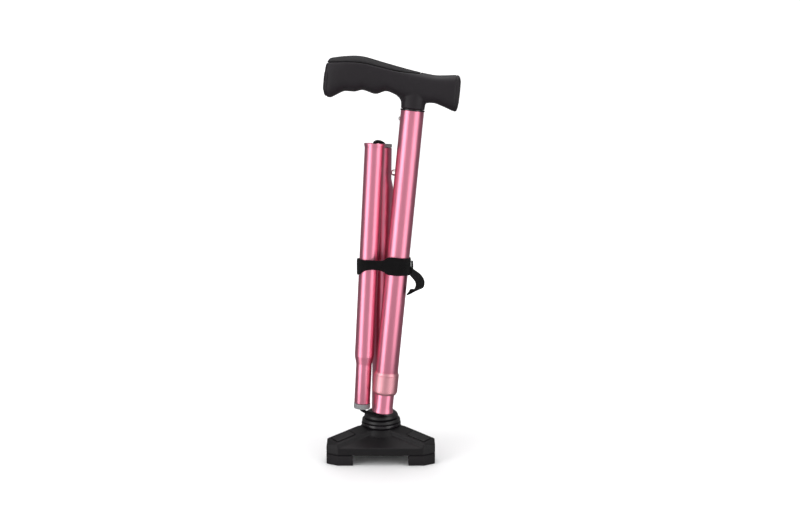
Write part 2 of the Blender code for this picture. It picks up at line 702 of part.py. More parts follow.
def make_inner(found):
    parent = found["inner"]
    wall = [(SECTION_RADIUS, INNER_LENGTH), (SECTION_RADIUS, BELL_LENGTH), (MOUTH_RADIUS, LIP_LENGTH)]
    wall += [(MOUTH_RADIUS, 0), (MOUTH_RADIUS - WALL, 0), (MOUTH_RADIUS - WALL, LIP_LENGTH)]
    wall += [(BORE_RADIUS, BELL_LENGTH), (BORE_RADIUS, INNER_LENGTH)]
    tube = place(turned("inner_tube", wall), parent, "anodised")
    hole = radial_rod("inner_hole", BUTTON_DIAMETER / 2 + GAP, 2 * MM, OUTER_OD, BUTTON_START, parent)
    boolean(tube, cutter(hole, parent))
    glide_bore = BORE_RADIUS - 3 * MM
    glide = [(OUTER_BORE - 0.15 * MM, 3 * MM), (OUTER_BORE - 0.15 * MM, GAP), (BORE_RADIUS - GAP, GAP)]
    glide += [(BORE_RADIUS - GAP, -6 * MM), (glide_bore, -6 * MM), (glide_bore, 3 * MM)]
    place(turned("inner_glide", glide), parent, "grey_plastic").location.z = INNER_LENGTH
    # The cord ends in a washer that rests on a dimple ring in the bore.
    anchor = INNER_CORD_START + CORD_STUB
    washer = ring("cord_washer", BORE_RADIUS - GAP, CORD_RADIUS + GAP, anchor, anchor + 2 * MM, 24)
    place(washer, parent, "steel")
    cord("inner_cord", [(0, 0, INNER_CORD_START), (0, 0, anchor + 4 * MM)], parent)
    knot = solid_of_revolution(
        "cord_knot",
        [(0, 4.5 * MM), (3.2 * MM, 3.6 * MM), (4.4 * MM, 2.2 * MM), (4.0 * MM, 0.5 * MM), (0, 0)],
        20,
    )
    place(knot, parent, "cord").location.z = anchor + 4 * MM + GAP
    make_spring(parent)


def ribbon_outline(line, thickness):
    """Outline of a strip of the given thickness that follows a line of (x, z) points."""
    sides = {1: [], -1: []}
    for before, here, after in zip([line[0], *line], line, [*line[1:], line[-1]]):
        along = (Vector(after) - Vector(before)).normalized()
        for side, points in sides.items():
            offset = side * thickness / 2
            points.append((here[0] - offset * along.y, here[1] + offset * along.x))
    return sides[1] + sides[-1][::-1]


def make_spring(parent):
    """Folded leaf spring inside the tube: one leg carries the button, the other rests on the bore."""
    near = -(BUTTON_FOOT - GAP - SPRING_LEAF / 2)
    far = side_step(BORE_RADIUS, SPRING_WIDTH / 2) - GAP - SPRING_LEAF / 2
    height = BUTTON_DIAMETER
    line = [(near, height), (near, -0.5 * height), (0.8 * near, -2 * height), (0.3 * near, -3 * height)]
    line += [(0.3 * far, -3.2 * height), (0.8 * far, -2.4 * height), (far, -0.5 * height)]
    line += [(far, 0.8 * height)]
    outline = ribbon_outline(smooth_line(line, 4), SPRING_LEAF)
    made = slab("snap_spring", outline, -SPRING_WIDTH / 2, SPRING_WIDTH / 2)
    made.data.transform(Matrix.Rotation(math.radians(90), 4, "X"))
    made.data.transform(Matrix.Rotation(math.radians(-BUTTON_BACK), 4, "Z"))
    place(made, parent, "steel").location.z = BUTTON_START


def make_button(found):
    """Button on the local Z of its axis, which points out of the tube."""
    top = OUTER_RADIUS + BUTTON_HEIGHT
    r = BUTTON_DIAMETER / 2
    profile = [(0, top), (0.5 * r, top - 0.15 * r), (0.85 * r, top - 0.5 * r), (r, top - r)]
    profile += [(r, BUTTON_FOOT), (0, BUTTON_FOOT)]
    place(solid_of_revolution("snap_button", profile, 20), found["button"], "steel")


def make_outer(found):
    parent = found["inner"]
    end = HANDLE_START + SOCKET_DEPTH
    r, bore = OUTER_RADIUS, OUTER_BORE
    wall = [(r, end), (r, OUTER_START), (bore, OUTER_START), (bore, end)]
    tube = place(turned("outer_tube", wall), parent, "anodised")
    for n in range(HOLE_COUNT):
        height = BUTTON_START - n * HOLE_PITCH
        name = "height_hole_%d" % (n + 1)
        hole = radial_rod(name, BUTTON_DIAMETER / 2 + GAP, 4 * MM, OUTER_OD, height, parent)
        boolean(tube, cutter(hole, parent))
    rivet_height = HANDLE_START - RIVET_DROP
    plug = rod("handle_plug", OUTER_BORE - GAP, SOCKET_DEPTH + PLUG_REACH, 32)
    plug.location.z = HANDLE_START - PLUG_REACH
    place(plug, parent, "black_plastic")
    shank, head = RIVET_DIAMETER / 2, RIVET_DIAMETER * 0.75
    profile = [(0, 1.2 * MM), (0.7 * head, 0.9 * MM), (head, 0.2 * MM), (head, 0), (shank, 0)]
    profile += [(shank, -RIVET_LENGTH), (0, -RIVET_LENGTH)]
    rivet = place(solid_of_revolution("handle_rivet", profile, 20), parent, "steel")
    rivet.rotation_euler = (0, math.radians(-90), 0)
    rivet.location = (-OUTER_RADIUS - GAP, 0, rivet_height)
    seat = rod("rivet_seat", shank + GAP, OUTER_OD)
    seat.data.transform(Matrix.Rotation(math.radians(-90), 4, "Y"))
    seat.location = (RIVET_LENGTH + 1 * MM - OUTER_RADIUS, 0, rivet_height)
    cutter(seat, parent)
    boolean(tube, seat)
    boolean(plug, seat)
    # Split sleeve that the collar squeezes onto the inner tube.
    low, high = COLLAR_START + COLLAR_FLOOR, OUTER_START - GAP
    inner = SECTION_RADIUS + 0.25 * MM
    sleeve = ring("clamp_sleeve", OUTER_RADIUS - 0.6 * MM, inner, low, high, 32)
    place(sleeve, parent, "grey_plastic")
    half = SLEEVE_SLOT / 2
    slot = slab("sleeve_slot", [(0, -half), (OUTER_OD, -half), (OUTER_OD, half), (0, half)], 0, high)
    boolean(sleeve, cutter(slot, parent))


def make_collar(found):
    parent = found["inner"]
    r, c = COLLAR_RADIUS, COLLAR_CHAMFER
    low, high = COLLAR_START, COLLAR_END
    grip = OUTER_RADIUS + GAP
    shoulder = low + COLLAR_FLOOR - GAP
    profile = [(r - c, high), (r, high - 2.2 * c), (r, low + 2.2 * c), (r - c, low)]
    profile += [(SECTION_RADIUS + 0.6 * MM, low), (SECTION_RADIUS + 0.6 * MM, shoulder)]
    profile += [(grip, shoulder), (grip, high)]
    place(turned("locking_collar", profile, 48), parent, "collar")


GRIP_TOP = [
    (-85.6, 30.0),
    (-84.2, 35.5),
    (-79.7, 40.7),
    (-62.5, 44.3),
    (-49.8, 44.6),
    (-34.3, 41.8),
    (-17.3, 38.7),
    (-0.6, 36.0),
    (16.7, 34.1),
    (28.0, 34.9),
    (38.4, 36.1),
    (41.4, 34.6),
    (42.7, 31.0),
]
GRIP_BOTTOM = [
    (-85.6, 12.0),
    (-83.5, 6.4),
    (-77.9, 3.6),
    (-72.3, 7.3),
    (-66.0, 10.7),
    (-56.2, 11.2),
    (-48.8, 13.4),
    (-36.5, 10.9),
    (-27.0, 14.5),
    (-19.0, 12.6),
    (-9.0, 9.0),
    (10.0, 7.0),
    (19.4, 7.7),
    (30.0, 4.8),
    (39.4, 1.7),
    (41.8, 3.6),
    (42.7, 10.0),
]
PAD_LINE = [(-90.0, 34.9), (-66.2, 37.6), (-50.1, 38.1), (-33.8, 35.9), (-16.9, 33.8)]
PAD_LINE += [(-0.3, 33.6), (4.3, 34.2)]
GRIP_HALF_WIDTH = [(-85.6, 9.5), (-82.0, 13.0), (-70.0, 15.4), (-40.0, 16.0), (-10.0, 14.6), (10.0, 13.2)]
GRIP_HALF_WIDTH += [(30.0, 12.6), (40.5, 12.0), (42.7, 9.5)]


def scaled(line):
    return [(x * MM, z * MM) for x, z in line]


def grip_rows(stations, around):
    """Rounded-oblong sections of the grip, from its left end to its heel."""
    top = smooth_line(scaled(GRIP_TOP), 4)
    bottom = smooth_line(scaled(GRIP_BOTTOM), 4)
    width = scaled(GRIP_HALF_WIDTH)
    start, end = top[0][0], top[-1][0]
    rows = []
    for s in range(stations + 1):
        x = start + (end - start) * (0.5 - 0.5 * math.cos(math.pi * s / stations))
        high, low, half = height_at(top, x), height_at(bottom, x), height_at(width, x)
        row = []
        for i in range(around):
            angle = 2 * math.pi * i / around
            across, up = math.cos(angle), math.sin(angle)
            y = half * math.copysign(abs(across) ** 0.75, across)
            z = (high + low) / 2 + (high - low) / 2 * math.copysign(abs(up) ** 0.7, up)
            row.append((x, y, z))
        rows.append(row)
    return rows


def make_handle(found):
    parent = found["inner"]
    seat = empty("handle_seat", parent, (0, 0, HANDLE_START))
    rows = grip_rows(44, 24)
    body = place(loft("handle_body", rows), seat, "black_plastic")
    top = SOCKET_DEPTH - 2 * MM
    flare = [(NECK_RADIUS, 5 * MM), (NECK_RADIUS, 0)]
    neck = solid_of_revolution(
        "handle_neck",
        [(0, top), (NECK_RADIUS + 1.2 * MM, top), (NECK_RADIUS + 1.2 * MM, 11 * MM), *flare, (0, 0)],
        32,
    )
    boolean(body, cutter(neck, seat), "UNION")
    socket = rod("handle_socket", OUTER_RADIUS + GAP, SOCKET_DEPTH + 2 * GAP, 32)
    socket.location.z = -GAP
    boolean(body, cutter(socket, seat))
    # Soft pad: the part of the grip above the pad line.
    line = smooth_line(scaled(PAD_LINE), 3)
    high = 60 * MM
    outline = line + [(PAD_END, high), (line[0][0], high)]
    upright = Matrix.Rotation(math.radians(90), 4, "X")
    region = slab("pad_region", outline, -30 * MM, 30 * MM)
    region.data.transform(upright)
    cutter(region, seat)
    lowered = [(x, z - GAP) for x, z in line]
    grown = lowered + [(PAD_END + GAP, lowered[-1][1]), (PAD_END + GAP, high), (line[0][0], high)]
    room = slab("pad_room", grown, -30 * MM, 30 * MM)
    room.data.transform(upright)
    boolean(body, cutter(room, seat))
    pad = place(loft("handle_pad", rows), seat, "rubber")
    boolean(pad, region, "INTERSECT")
    # End cap let into the grip's left end.
    for name, grow in (("handle_end_cap", 0.0), ("cap_seat", GAP)):
        disc = rod(name, CAP_RADIUS + grow, CAP_LENGTH + 5 * grow, 28)
        disc.data.transform(Matrix.Rotation(math.radians(90), 4, "Y"))
        disc.location = (GRIP_TOP[0][0] * MM - CAP_PROUD - 4 * grow, 0, CAP_HEIGHT)
        if grow:
            boolean(body, cutter(disc, seat))
        else:
            place(disc, seat, "black_plastic")
            bevel(disc, 0.6 * MM, 2)
    inner = OUTER_RADIUS + GAP
    collar = ring("neck_ring", NECK_RADIUS + 0.6 * MM, inner, -2.2 * MM, -GAP, 32)
    place(collar, seat, "black_plastic")


def strap_outline(circles, grow):
    """Outline round a bundle of (x, y, radius) circles, as the convex path of a taut band."""
    points = []
    for x, y, radius in circles:
        for i in range(24):
            angle = 2 * math.pi * i / 24
            points.append((x + (radius + grow) * math.cos(angle), y + (radius + grow) * math.sin(angle)))
    points.sort()
    halves = []
    for order in (points, points[::-1]):
        chain = []
        for point in order:
            while len(chain) > 1 and turn(chain[-2], chain[-1], point) <= 0:
                chain.pop()
            chain.append(point)
        halves += chain[:-1]
    return halves


def turn(a, b, c):
    return (b[0] - a[0]) * (c[1] - a[1]) - (b[1] - a[1]) * (c[0] - a[0])


def make_strap(found):
    """Webbing round the folded bundle, with its loose end looped on the handle section's side."""
    parent = found["inner"]
    points = found["points"]
    height = points["handle_mouth"].z + STRAP_HEIGHT * math.cos(math.radians(HANDLE_LEAN))
    rest = height - points["mouth"].z
    lower_x = (height - PIVOT_HEIGHT) * slope(LOWER_LEAN)
    middle_x = points["mouth"].x + rest * slope(MIDDLE_LEAN)
    handle_x = points["handle_mouth"].x + STRAP_HEIGHT * math.sin(math.radians(HANDLE_LEAN))
    circles = [(lower_x, 0, SECTION_RADIUS), (middle_x, points["mouth"].y, SECTION_RADIUS)]
    circles.append((handle_x, points["handle_mouth"].y, OUTER_RADIUS))
    # The tubes lean across the band's width, so it stands off them by that much.
    stand_off = STRAP_WIDTH / 2 * slope(HANDLE_LEAN) + GAP
    outer = strap_outline(circles, stand_off + STRAP_THICKNESS)
    inner = strap_outline(circles, stand_off)
    band = slab("strap_band", outer, -STRAP_WIDTH / 2, STRAP_WIDTH / 2)
    room = slab("strap_room", inner, -STRAP_WIDTH, STRAP_WIDTH)
    inverse = (Matrix.Translation(parent.location) @ parent.rotation_euler.to_matrix().to_4x4()).inverted()
    for piece in (band, room):
        piece.data.transform(inverse @ Matrix.Translation((0, 0, height)))
    place(band, parent, "webbing")
    boolean(band, cutter(room, parent))
    # Loose end: a D-shaped loop of webbing that hangs below the band, outside the tubes.
    start = OUTER_RADIUS + stand_off + STRAP_THICKNESS + GAP
    loop = [(0.6, -8.4), (1.6, -6.0), (7.0, -1.5), (11.3, -0.4), (13.0, -4.5), (12.5, -12.5)]
    loop += [(10.0, -17.0), (6.0, -20.2), (1.6, -20.6), (-0.9, -20.0)]
    middle = smooth_line([(start + x * MM, z * MM) for x, z in loop], 3)
    outline = ribbon_outline(middle, STRAP_THICKNESS)
    tail = slab("strap_tail", outline, -STRAP_WIDTH / 2, STRAP_WIDTH / 2)
    tail.data.transform(Matrix.Rotation(math.radians(90), 4, "X"))
    place(tail, parent, "webbing").location.z = STRAP_HEIGHT


def centre_on_origin(root):
    """Move the cane so that its box is centred on X and Y, with the pads on z = 0."""
    bpy.context.view_layer.update()
    graph = bpy.context.evaluated_depsgraph_get()
    corners = []
    for obj in PARTS.objects:
        if obj.type == "EMPTY":
            continue
        evaluated = obj.evaluated_get(graph)
        mesh = evaluated.to_mesh()
        corners += [evaluated.matrix_world @ vertex.co for vertex in mesh.vertices]
        evaluated.to_mesh_clear()
    middle = [(min(c[i] for c in corners) + max(c[i] for c in corners)) / 2 for i in range(2)]
    root.location = (-middle[0], -middle[1], 0)
    bpy.context.view_layer.update()


clear_scene()
PARTS = new_collection("folding_cane")
CUTTERS = new_collection("folding_cane_cutters")


def main():
    found = frames()
    make_base(found["base"])
    make_neck(found)
    make_lower(found)
    make_middle(found)
    make_loops(found)
    make_inner(found)
    make_button(found)
    make_outer(found)
    make_collar(found)
    make_handle(found)
    make_strap(found)
    centre_on_origin(found["base"])
    return found


FRAMES = main()
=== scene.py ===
"""Looks of a folding walking cane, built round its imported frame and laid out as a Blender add-on."""

import json
import math

import bmesh
import bpy
from bpy.props import FloatProperty, FloatVectorProperty, PointerProperty
from bpy.types import Operator, Panel, PropertyGroup
from mathutils import Matrix, Vector


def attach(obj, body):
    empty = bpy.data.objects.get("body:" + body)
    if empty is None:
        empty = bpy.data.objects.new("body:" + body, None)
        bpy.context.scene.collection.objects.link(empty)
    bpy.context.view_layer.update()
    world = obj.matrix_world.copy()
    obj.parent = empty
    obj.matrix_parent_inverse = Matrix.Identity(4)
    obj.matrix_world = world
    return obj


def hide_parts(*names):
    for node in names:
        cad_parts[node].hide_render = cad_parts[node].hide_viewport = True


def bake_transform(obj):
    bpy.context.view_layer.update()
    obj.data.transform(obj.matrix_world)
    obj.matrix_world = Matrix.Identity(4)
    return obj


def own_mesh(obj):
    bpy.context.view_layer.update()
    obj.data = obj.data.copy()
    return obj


bl_info = {
    "name": "Folding cane",
    "version": (1, 0, 0),
    "blender": (4, 5, 0),
    "location": "View3D > Sidebar > Cane",
    "description": "Builds a folded walking cane with a three-foot base, its finishes and its studio",
    "category": "Object",
}

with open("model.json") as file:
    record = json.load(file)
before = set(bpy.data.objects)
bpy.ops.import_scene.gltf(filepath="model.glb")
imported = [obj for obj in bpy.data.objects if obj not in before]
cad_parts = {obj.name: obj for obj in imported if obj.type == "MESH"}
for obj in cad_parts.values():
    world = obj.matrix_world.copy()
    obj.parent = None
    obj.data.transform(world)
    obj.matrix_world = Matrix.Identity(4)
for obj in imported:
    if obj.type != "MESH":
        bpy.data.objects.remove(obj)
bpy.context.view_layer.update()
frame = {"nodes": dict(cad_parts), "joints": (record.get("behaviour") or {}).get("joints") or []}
JOINTS = {joint["name"]: joint for joint in frame["joints"]}

MM = 0.001
GAP = 0.3 * MM
EPS = 0.05 * MM

# Sizes of the metalwork
SECTION_RADIUS = 9.525 * MM
WALL = 1.2 * MM
BORE_RADIUS = SECTION_RADIUS - WALL
OUTER_RADIUS = 11.1 * MM
OUTER_BORE = OUTER_RADIUS - WALL
TIP_RADIUS = BORE_RADIUS - 0.55 * MM
TIP_BORE = TIP_RADIUS - WALL
MOUTH_RADIUS = SECTION_RADIUS + 0.7 * MM
LOWER_START = 9.6 * MM
LOWER_END = LOWER_START + 263.7 * MM
LOWER_TIP = 30.5 * MM
MIDDLE_LENGTH = 256.0 * MM
MIDDLE_TIP = 39.5 * MM
SWAGE = 8.0 * MM
BELL = 4.5 * MM
INNER_LENGTH = 254.0 * MM
COLLAR_START = 18.8 * MM
COLLAR_END = 41.0 * MM
COLLAR_RADIUS = 12.3 * MM
OUTER_START = COLLAR_START + 0.55 * (COLLAR_END - COLLAR_START)
HANDLE_START = 297.3 * MM
SOCKET_DEPTH = 22.0 * MM
BUTTON_START = 235.6 * MM
BUTTON_RADIUS = 3.2 * MM
BUTTON_BACK = 20.0
HOLE_PITCH = 25.4 * MM
HOLE_COUNT = 7
NECK_RADIUS = 11.3 * MM
HUB_RADIUS = 21.0 * MM
ARM_HUB_HEIGHT = 29.6 * MM
ARM_TIP_HEIGHT = 22.0 * MM
LEG_SHOULDER = 55.4 * MM
LEG_ANGLES = {"left": 210.0, "right": 330.0, "rear": 90.0}
STRAP_HEIGHT = 146.0 * MM
CORD_RADIUS = 1.6 * MM
LOWER_RING = 3.6 * MM  # lengths of the grey end rings
MIDDLE_RING = 5.4 * MM
MIDDLE_RING_SEAT = 6.6 * MM  # from the middle tube's end to where its cord leaves
MOUTH_LIP = 1.2 * MM
BOOT_BORE = 14.4 * MM
ARM_CENTRE = 43.0 * MM
BUTTON_TURN = 180.0 - BUTTON_BACK


def spin(degrees, axis="Z"):
    return Matrix.Rotation(math.radians(degrees), 4, axis)


def shift(x, y, z):
    return Matrix.Translation((x, y, z))


# Frames: each places a piece that is modelled along its own Z.
PIVOT = Vector(JOINTS["neck_tilt_side"]["pos_m"])
FOOT = Vector((PIVOT.x, PIVOT.y, 0))
LOWER_AT = shift(*PIVOT) @ spin(0.67, "Y")
MIDDLE_AT = shift(*(PIVOT + Vector((-5.1621, -17.3121, 277.881)) * MM)) @ spin(3.0, "Y")
HANDLE_AT = shift(*JOINTS["collar_turn"]["pos_m"]) @ spin(5.62, "Y")
GRIP_AT = HANDLE_AT @ shift(0, 0, HANDLE_START)
BASE_AT = shift(*FOOT)
UP = Vector((0, 0, 1))


class CaneSizes(PropertyGroup):
    """Sizes of the details that a user would change."""

    mould_grid: FloatProperty(
        name="Moulding grid", description="Mesh size of the moulded parts", default=0.0007, unit="LENGTH"
    )
    knurl_depth: FloatProperty(
        name="Knurl depth", description="Depth of the collar's knurl", default=0.00028, unit="LENGTH"
    )
    web_thickness: FloatProperty(
        name="Webbing thickness", description="Thickness of the strap", default=0.0013, unit="LENGTH"
    )
    web_rib: FloatProperty(
        name="Webbing rib", description="Spacing of the strap's ribs", default=0.0011, unit="LENGTH"
    )
    grain_size: FloatProperty(
        name="Plastic grain", description="Size of the moulded texture", default=0.0009, unit="LENGTH"
    )


class CaneColours(PropertyGroup):
    """Colours of the finishes."""

    rose: FloatVectorProperty(
        name="Tubes", description="Anodised colour", default=(0.86, 0.29, 0.41), subtype="COLOR"
    )
    collar: FloatVectorProperty(
        name="Collar", description="Knurled collar's colour", default=(0.86, 0.40, 0.46), subtype="COLOR"
    )
    plastic: FloatVectorProperty(
        name="Plastic", description="Moulded base and grip", default=(0.0112, 0.0084, 0.0112), subtype="COLOR"
    )
    rubber: FloatVectorProperty(
        name="Rubber",
        description="Feet, boot and soft pad",
        default=(0.0072, 0.0058, 0.0072),
        subtype="COLOR",
    )
    webbing: FloatVectorProperty(
        name="Webbing", description="Strap", default=(0.0030, 0.0026, 0.0030), subtype="COLOR"
    )
    grey: FloatVectorProperty(
        name="Grey plastic", description="Rings and glide", default=(0.21, 0.21, 0.215), subtype="COLOR"
    )
    steel: FloatVectorProperty(
        name="Steel", description="Button, rivet and hidden pins", default=(0.62, 0.61, 0.59), subtype="COLOR"
    )


class CaneStudio(PropertyGroup):
    """Camera, floor and lights."""

    lens: FloatProperty(name="Lens", description="Focal length in mm", default=48.15, min=10)
    key_power: FloatProperty(name="Key light", description="Left softbox in watts", default=12.0, min=0)
    fill_power: FloatProperty(name="Fill light", description="Right softbox in watts", default=8.4, min=0)
    top_power: FloatProperty(name="Top light", description="Overhead light in watts", default=26.0, min=0)
    surround: FloatProperty(name="Surround", description="Brightness of the room", default=0.2, min=0)
    floor_glow: FloatProperty(name="Floor glow", description="Light the floor gives off", default=0.5, min=0)
    floor: FloatVectorProperty(
        name="Floor", description="Floor colour", default=(0.93, 0.93, 0.935), subtype="COLOR"
    )


# Finishes
class Nodes:
    """A node tree being made."""

    def __init__(self, tree):
        self.tree = tree

    def feed(self, target, value):
        if isinstance(value, bpy.types.NodeSocket):
            self.tree.links.new(value, target)
        else:
            target.default_value = value

    def node(self, kind, **values):
        """A new node. Values are its input sockets by name, given as numbers or as other sockets."""
        made = self.tree.nodes.new(kind)
        for key, value in values.items():
            self.feed(made.inputs[key], value)
        return made

    def math(self, operation, a, b=0.0):
        made = self.node("ShaderNodeMath")
        made.operation = operation
        for target, value in zip(made.inputs, (a, b)):
            self.feed(target, value)
        return made.outputs[0]

    def spread(self, value, low, high, start=0.3, end=0.7):
        """The value, mapped from start to end onto low to high."""
        ends = {"From Min": start, "From Max": end, "To Min": low, "To Max": high}
        return self.node("ShaderNodeMapRange", Value=value, **ends).outputs["Result"]


class Finish(Nodes):
    """A material being made: its shader, and the nodes that feed it."""

    def __init__(self, name, colour, roughness, metallic=0.0, **sockets):
        self.material = bpy.data.materials.new(name)
        self.material.use_nodes = True
        super().__init__(self.material.node_tree)
        self.shader = self.tree.nodes["Principled BSDF"]
        self.colour = (*colour, 1.0)
        values = {"Base_Color": self.colour, "Roughness": roughness, "Metallic": metallic, **sockets}
        for socket, value in values.items():
            self.shader.inputs[socket.replace("_", " ")].default_value = value
        self.normal = None
        self.place = self.node("ShaderNodeTexCoord").outputs["Object"]

    def link(self, source, socket):
        self.tree.links.new(source, self.shader.inputs[socket])

    def stretched(self, scale):
        """The place, scaled on each axis, which draws a texture out along the axis scaled least."""
        return self.node("ShaderNodeMapping", Vector=self.place, Scale=scale).outputs["Vector"]

    def noise(self, size, detail=3.0, place=None, roughness=0.55):
        values = {"Vector": place or self.place, "Scale": 1 / size, "Detail": detail, "Roughness": roughness}
        return self.node("ShaderNodeTexNoise", **values).outputs["Fac"]

    def strap_place(self):
        """Places across and along a strap or cord, in metres, from its UVs."""
        flat = self.node("ShaderNodeTexCoord").outputs["UV"]
        split = self.node("ShaderNodeSeparateXYZ", Vector=flat)
        return split.outputs["X"], split.outputs["Y"]

    def tint(self, factor, colour, under=None):
        """Lay a colour over what the shader's base colour holds, by a factor."""
        made = self.tree.nodes.new("ShaderNodeMix")
        made.data_type = "RGBA"
        self.tree.links.new(factor, made.inputs[0])
        links = self.shader.inputs["Base Color"].links
        self.feed(made.inputs[6], links[0].from_socket if links else self.colour)
        made.inputs[7].default_value = (*colour, 1.0)
        self.link(made.outputs[2], "Base Color")

    def bump(self, height, distance, strength=1.0):
        values = {"Height": height, "Distance": distance, "Strength": strength}
        if self.normal:
            values["Normal"] = self.normal
        self.normal = self.node("ShaderNodeBump", **values).outputs["Normal"]
        self.link(self.normal, "Normal")

    def edges(self, start, end):
        """A factor that is high on outer edges."""
        pointed = self.tree.nodes.new("ShaderNodeNewGeometry").outputs["Pointiness"]
        return self.spread(pointed, 0.0, 1.0, start, end)


def shade(colour, factor):
    return tuple(min(1.0, c * factor) for c in colour)


def anodised(name, colour, roughness):
    """Satin anodised aluminium: fine drawn lines along the tube, soft clouding and light scuffs."""
    made = Finish(name, colour, roughness, 1.0, Coat_Weight=0.18, Coat_Roughness=0.25)
    lines = made.noise(0.0009, 2.0, made.stretched((1, 1, 0.02)))
    clouds = made.noise(0.03, 3.0, made.stretched((1, 1, 0.35)))
    scuffs = made.noise(0.0016, 6.0, made.stretched((1, 1, 0.3)), 0.75)
    made.tint(made.spread(clouds, 0.0, 0.35), shade(colour, 0.82))
    made.tint(made.spread(lines, 0.0, 0.16), shade(colour, 1.08))
    made.tint(made.spread(scuffs, 0.0, 0.3, 0.68, 0.78), (0.93, 0.62, 0.68))
    satin = made.spread(lines, roughness - 0.03, roughness + 0.05)
    made.link(made.math("ADD", satin, made.spread(scuffs, 0.0, 0.15, 0.66, 0.8)), "Roughness")
    made.bump(lines, 0.00002, 0.35)
    return made.material


def moulded(name, colour, roughness, grain, depth, sheen=0.0):
    """Textured moulded plastic or rubber: spark-eroded grain, slight clouding, paler worn edges."""
    made = Finish(name, colour, roughness, 0.0, Specular_IOR_Level=0.3)
    cells = made.node("ShaderNodeTexVoronoi", Vector=made.place, Scale=1 / grain, Randomness=1.0)
    fine = made.noise(grain * 0.6, 4.0)
    clouds = made.noise(0.018, 4.0)
    dust = made.noise(0.0045, 6.0, None, 0.7)
    made.tint(made.spread(clouds, 0.0, 0.6), shade(colour, 0.72))
    made.tint(made.spread(dust, 0.0, 0.22, 0.55, 0.8), shade(colour, 3.0))
    made.tint(made.edges(0.52, 0.6), shade(colour, 2.1))
    made.link(made.spread(fine, roughness - 0.07, roughness + 0.07), "Roughness")
    made.bump(cells.outputs["Distance"], depth, 0.55)
    made.bump(fine, depth * 0.8, 0.6)
    return made.material


def ribbed_rubber(name, colour, pitch):
    """Rubber with fine moulded ribs across its length."""
    made = Finish(name, colour, 0.62, 0.0, Specular_IOR_Level=0.4)
    split = made.node("ShaderNodeSeparateXYZ", Vector=made.place)
    turns = made.math("MULTIPLY", split.outputs["X"], 2 * math.pi / pitch)
    wave = made.math("SINE", turns)
    fine = made.noise(0.0006, 4.0)
    made.tint(made.spread(made.noise(0.012, 4.0), 0.0, 0.5), shade(colour, 0.7))
    made.link(made.spread(fine, 0.55, 0.7), "Roughness")
    made.bump(wave, 0.00008, 0.5)
    made.bump(fine, 0.00005, 0.6)
    return made.material


def woven(name, colour, rib):
    """Nylon webbing: ribs across the strap, yarns along it, fuzz on top, with a painted highlight on the
    raised yarns. It reads lengths from UVs.
    """
    made = Finish(name, colour, 0.85, 0.0, Sheen_Weight=0.03, Sheen_Roughness=0.5, Specular_IOR_Level=0.12)
    across, along = made.strap_place()
    yarn = made.math("SINE", made.math("MULTIPLY", across, 2 * math.pi / (rib * 0.9)))
    stagger = made.math("MULTIPLY", made.math("SIGN", yarn), math.pi / 2)
    ribs = made.math("SINE", made.math("ADD", made.math("MULTIPLY", along, 2 * math.pi / rib), stagger))
    raised = made.math("ADD", ribs, 1.2)
    weave = made.math("MULTIPLY", raised, made.math("ADD", made.math("ABSOLUTE", yarn), 0.35))
    fuzz = made.noise(0.0005, 5.0)
    # Painted highlight: the weave's raised tops are lightened, which leaves the dips darker as painted shade.
    made.tint(made.spread(weave, 0.0, 0.9, 0.2, 2.6), shade(colour, 2.4))
    made.tint(made.spread(made.noise(0.008, 4.0), 0.0, 0.5), shade(colour, 0.6))
    made.link(made.spread(fuzz, 0.74, 0.95), "Roughness")
    made.bump(weave, 0.00016, 0.8)
    made.bump(fuzz, 0.00008, 0.7)
    return made.material


def braided(name, colour, pitch):
    """Round cord with a braided cover: two crossing sets of strands, with a painted highlight on the raised
    strands. It reads lengths from UVs.
    """
    made = Finish(name, colour, 0.8, 0.0, Sheen_Weight=0.04, Sheen_Roughness=0.5, Specular_IOR_Level=0.15)
    across, along = made.strap_place()
    turn = 2 * math.pi / pitch
    one = made.math("MULTIPLY", made.math("ADD", across, along), turn)
    two = made.math("MULTIPLY", made.math("SUBTRACT", across, along), turn)
    strands = made.math("MAXIMUM", made.math("SINE", one), made.math("SINE", two))
    fuzz = made.noise(0.0004, 4.0)
    # Painted highlight: the raised strands are lightened, which leaves the gaps between them darker as
    # painted shade.
    made.tint(made.spread(strands, 0.0, 0.8, 0.0, 1.0), shade(colour, 2.2))
    made.link(made.spread(fuzz, 0.7, 0.92), "Roughness")
    made.bump(strands, 0.00014, 0.8)
    return made.material


def bright_metal(name, colour, roughness):
    """Plated steel with fine polishing marks and dulled patches."""
    made = Finish(name, colour, roughness, 1.0)
    marks = made.noise(0.0007, 5.0, made.stretched((1, 1, 0.25)), 0.7)
    dull = made.noise(0.004, 4.0)
    made.tint(made.spread(dull, 0.0, 0.4), shade(colour, 0.75))
    made.link(made.spread(marks, roughness - 0.06, roughness + 0.12), "Roughness")
    made.bump(marks, 0.00002, 0.4)
    return made.material


def smooth_plastic(name, colour, roughness):
    """Smooth moulded plastic with faint flow marks and light scuffing."""
    made = Finish(name, colour, roughness, 0.0, Specular_IOR_Level=0.5)
    flow = made.noise(0.01, 4.0, made.stretched((1, 1, 2.5)))
    scuffs = made.noise(0.0012, 6.0, None, 0.75)
    made.tint(made.spread(flow, 0.0, 0.35), shade(colour, 0.8))
    made.tint(made.spread(scuffs, 0.0, 0.3, 0.62, 0.8), shade(colour, 1.5))
    made.link(made.spread(scuffs, roughness - 0.04, roughness + 0.14), "Roughness")
    made.bump(scuffs, 0.00003, 0.5)
    return made.material


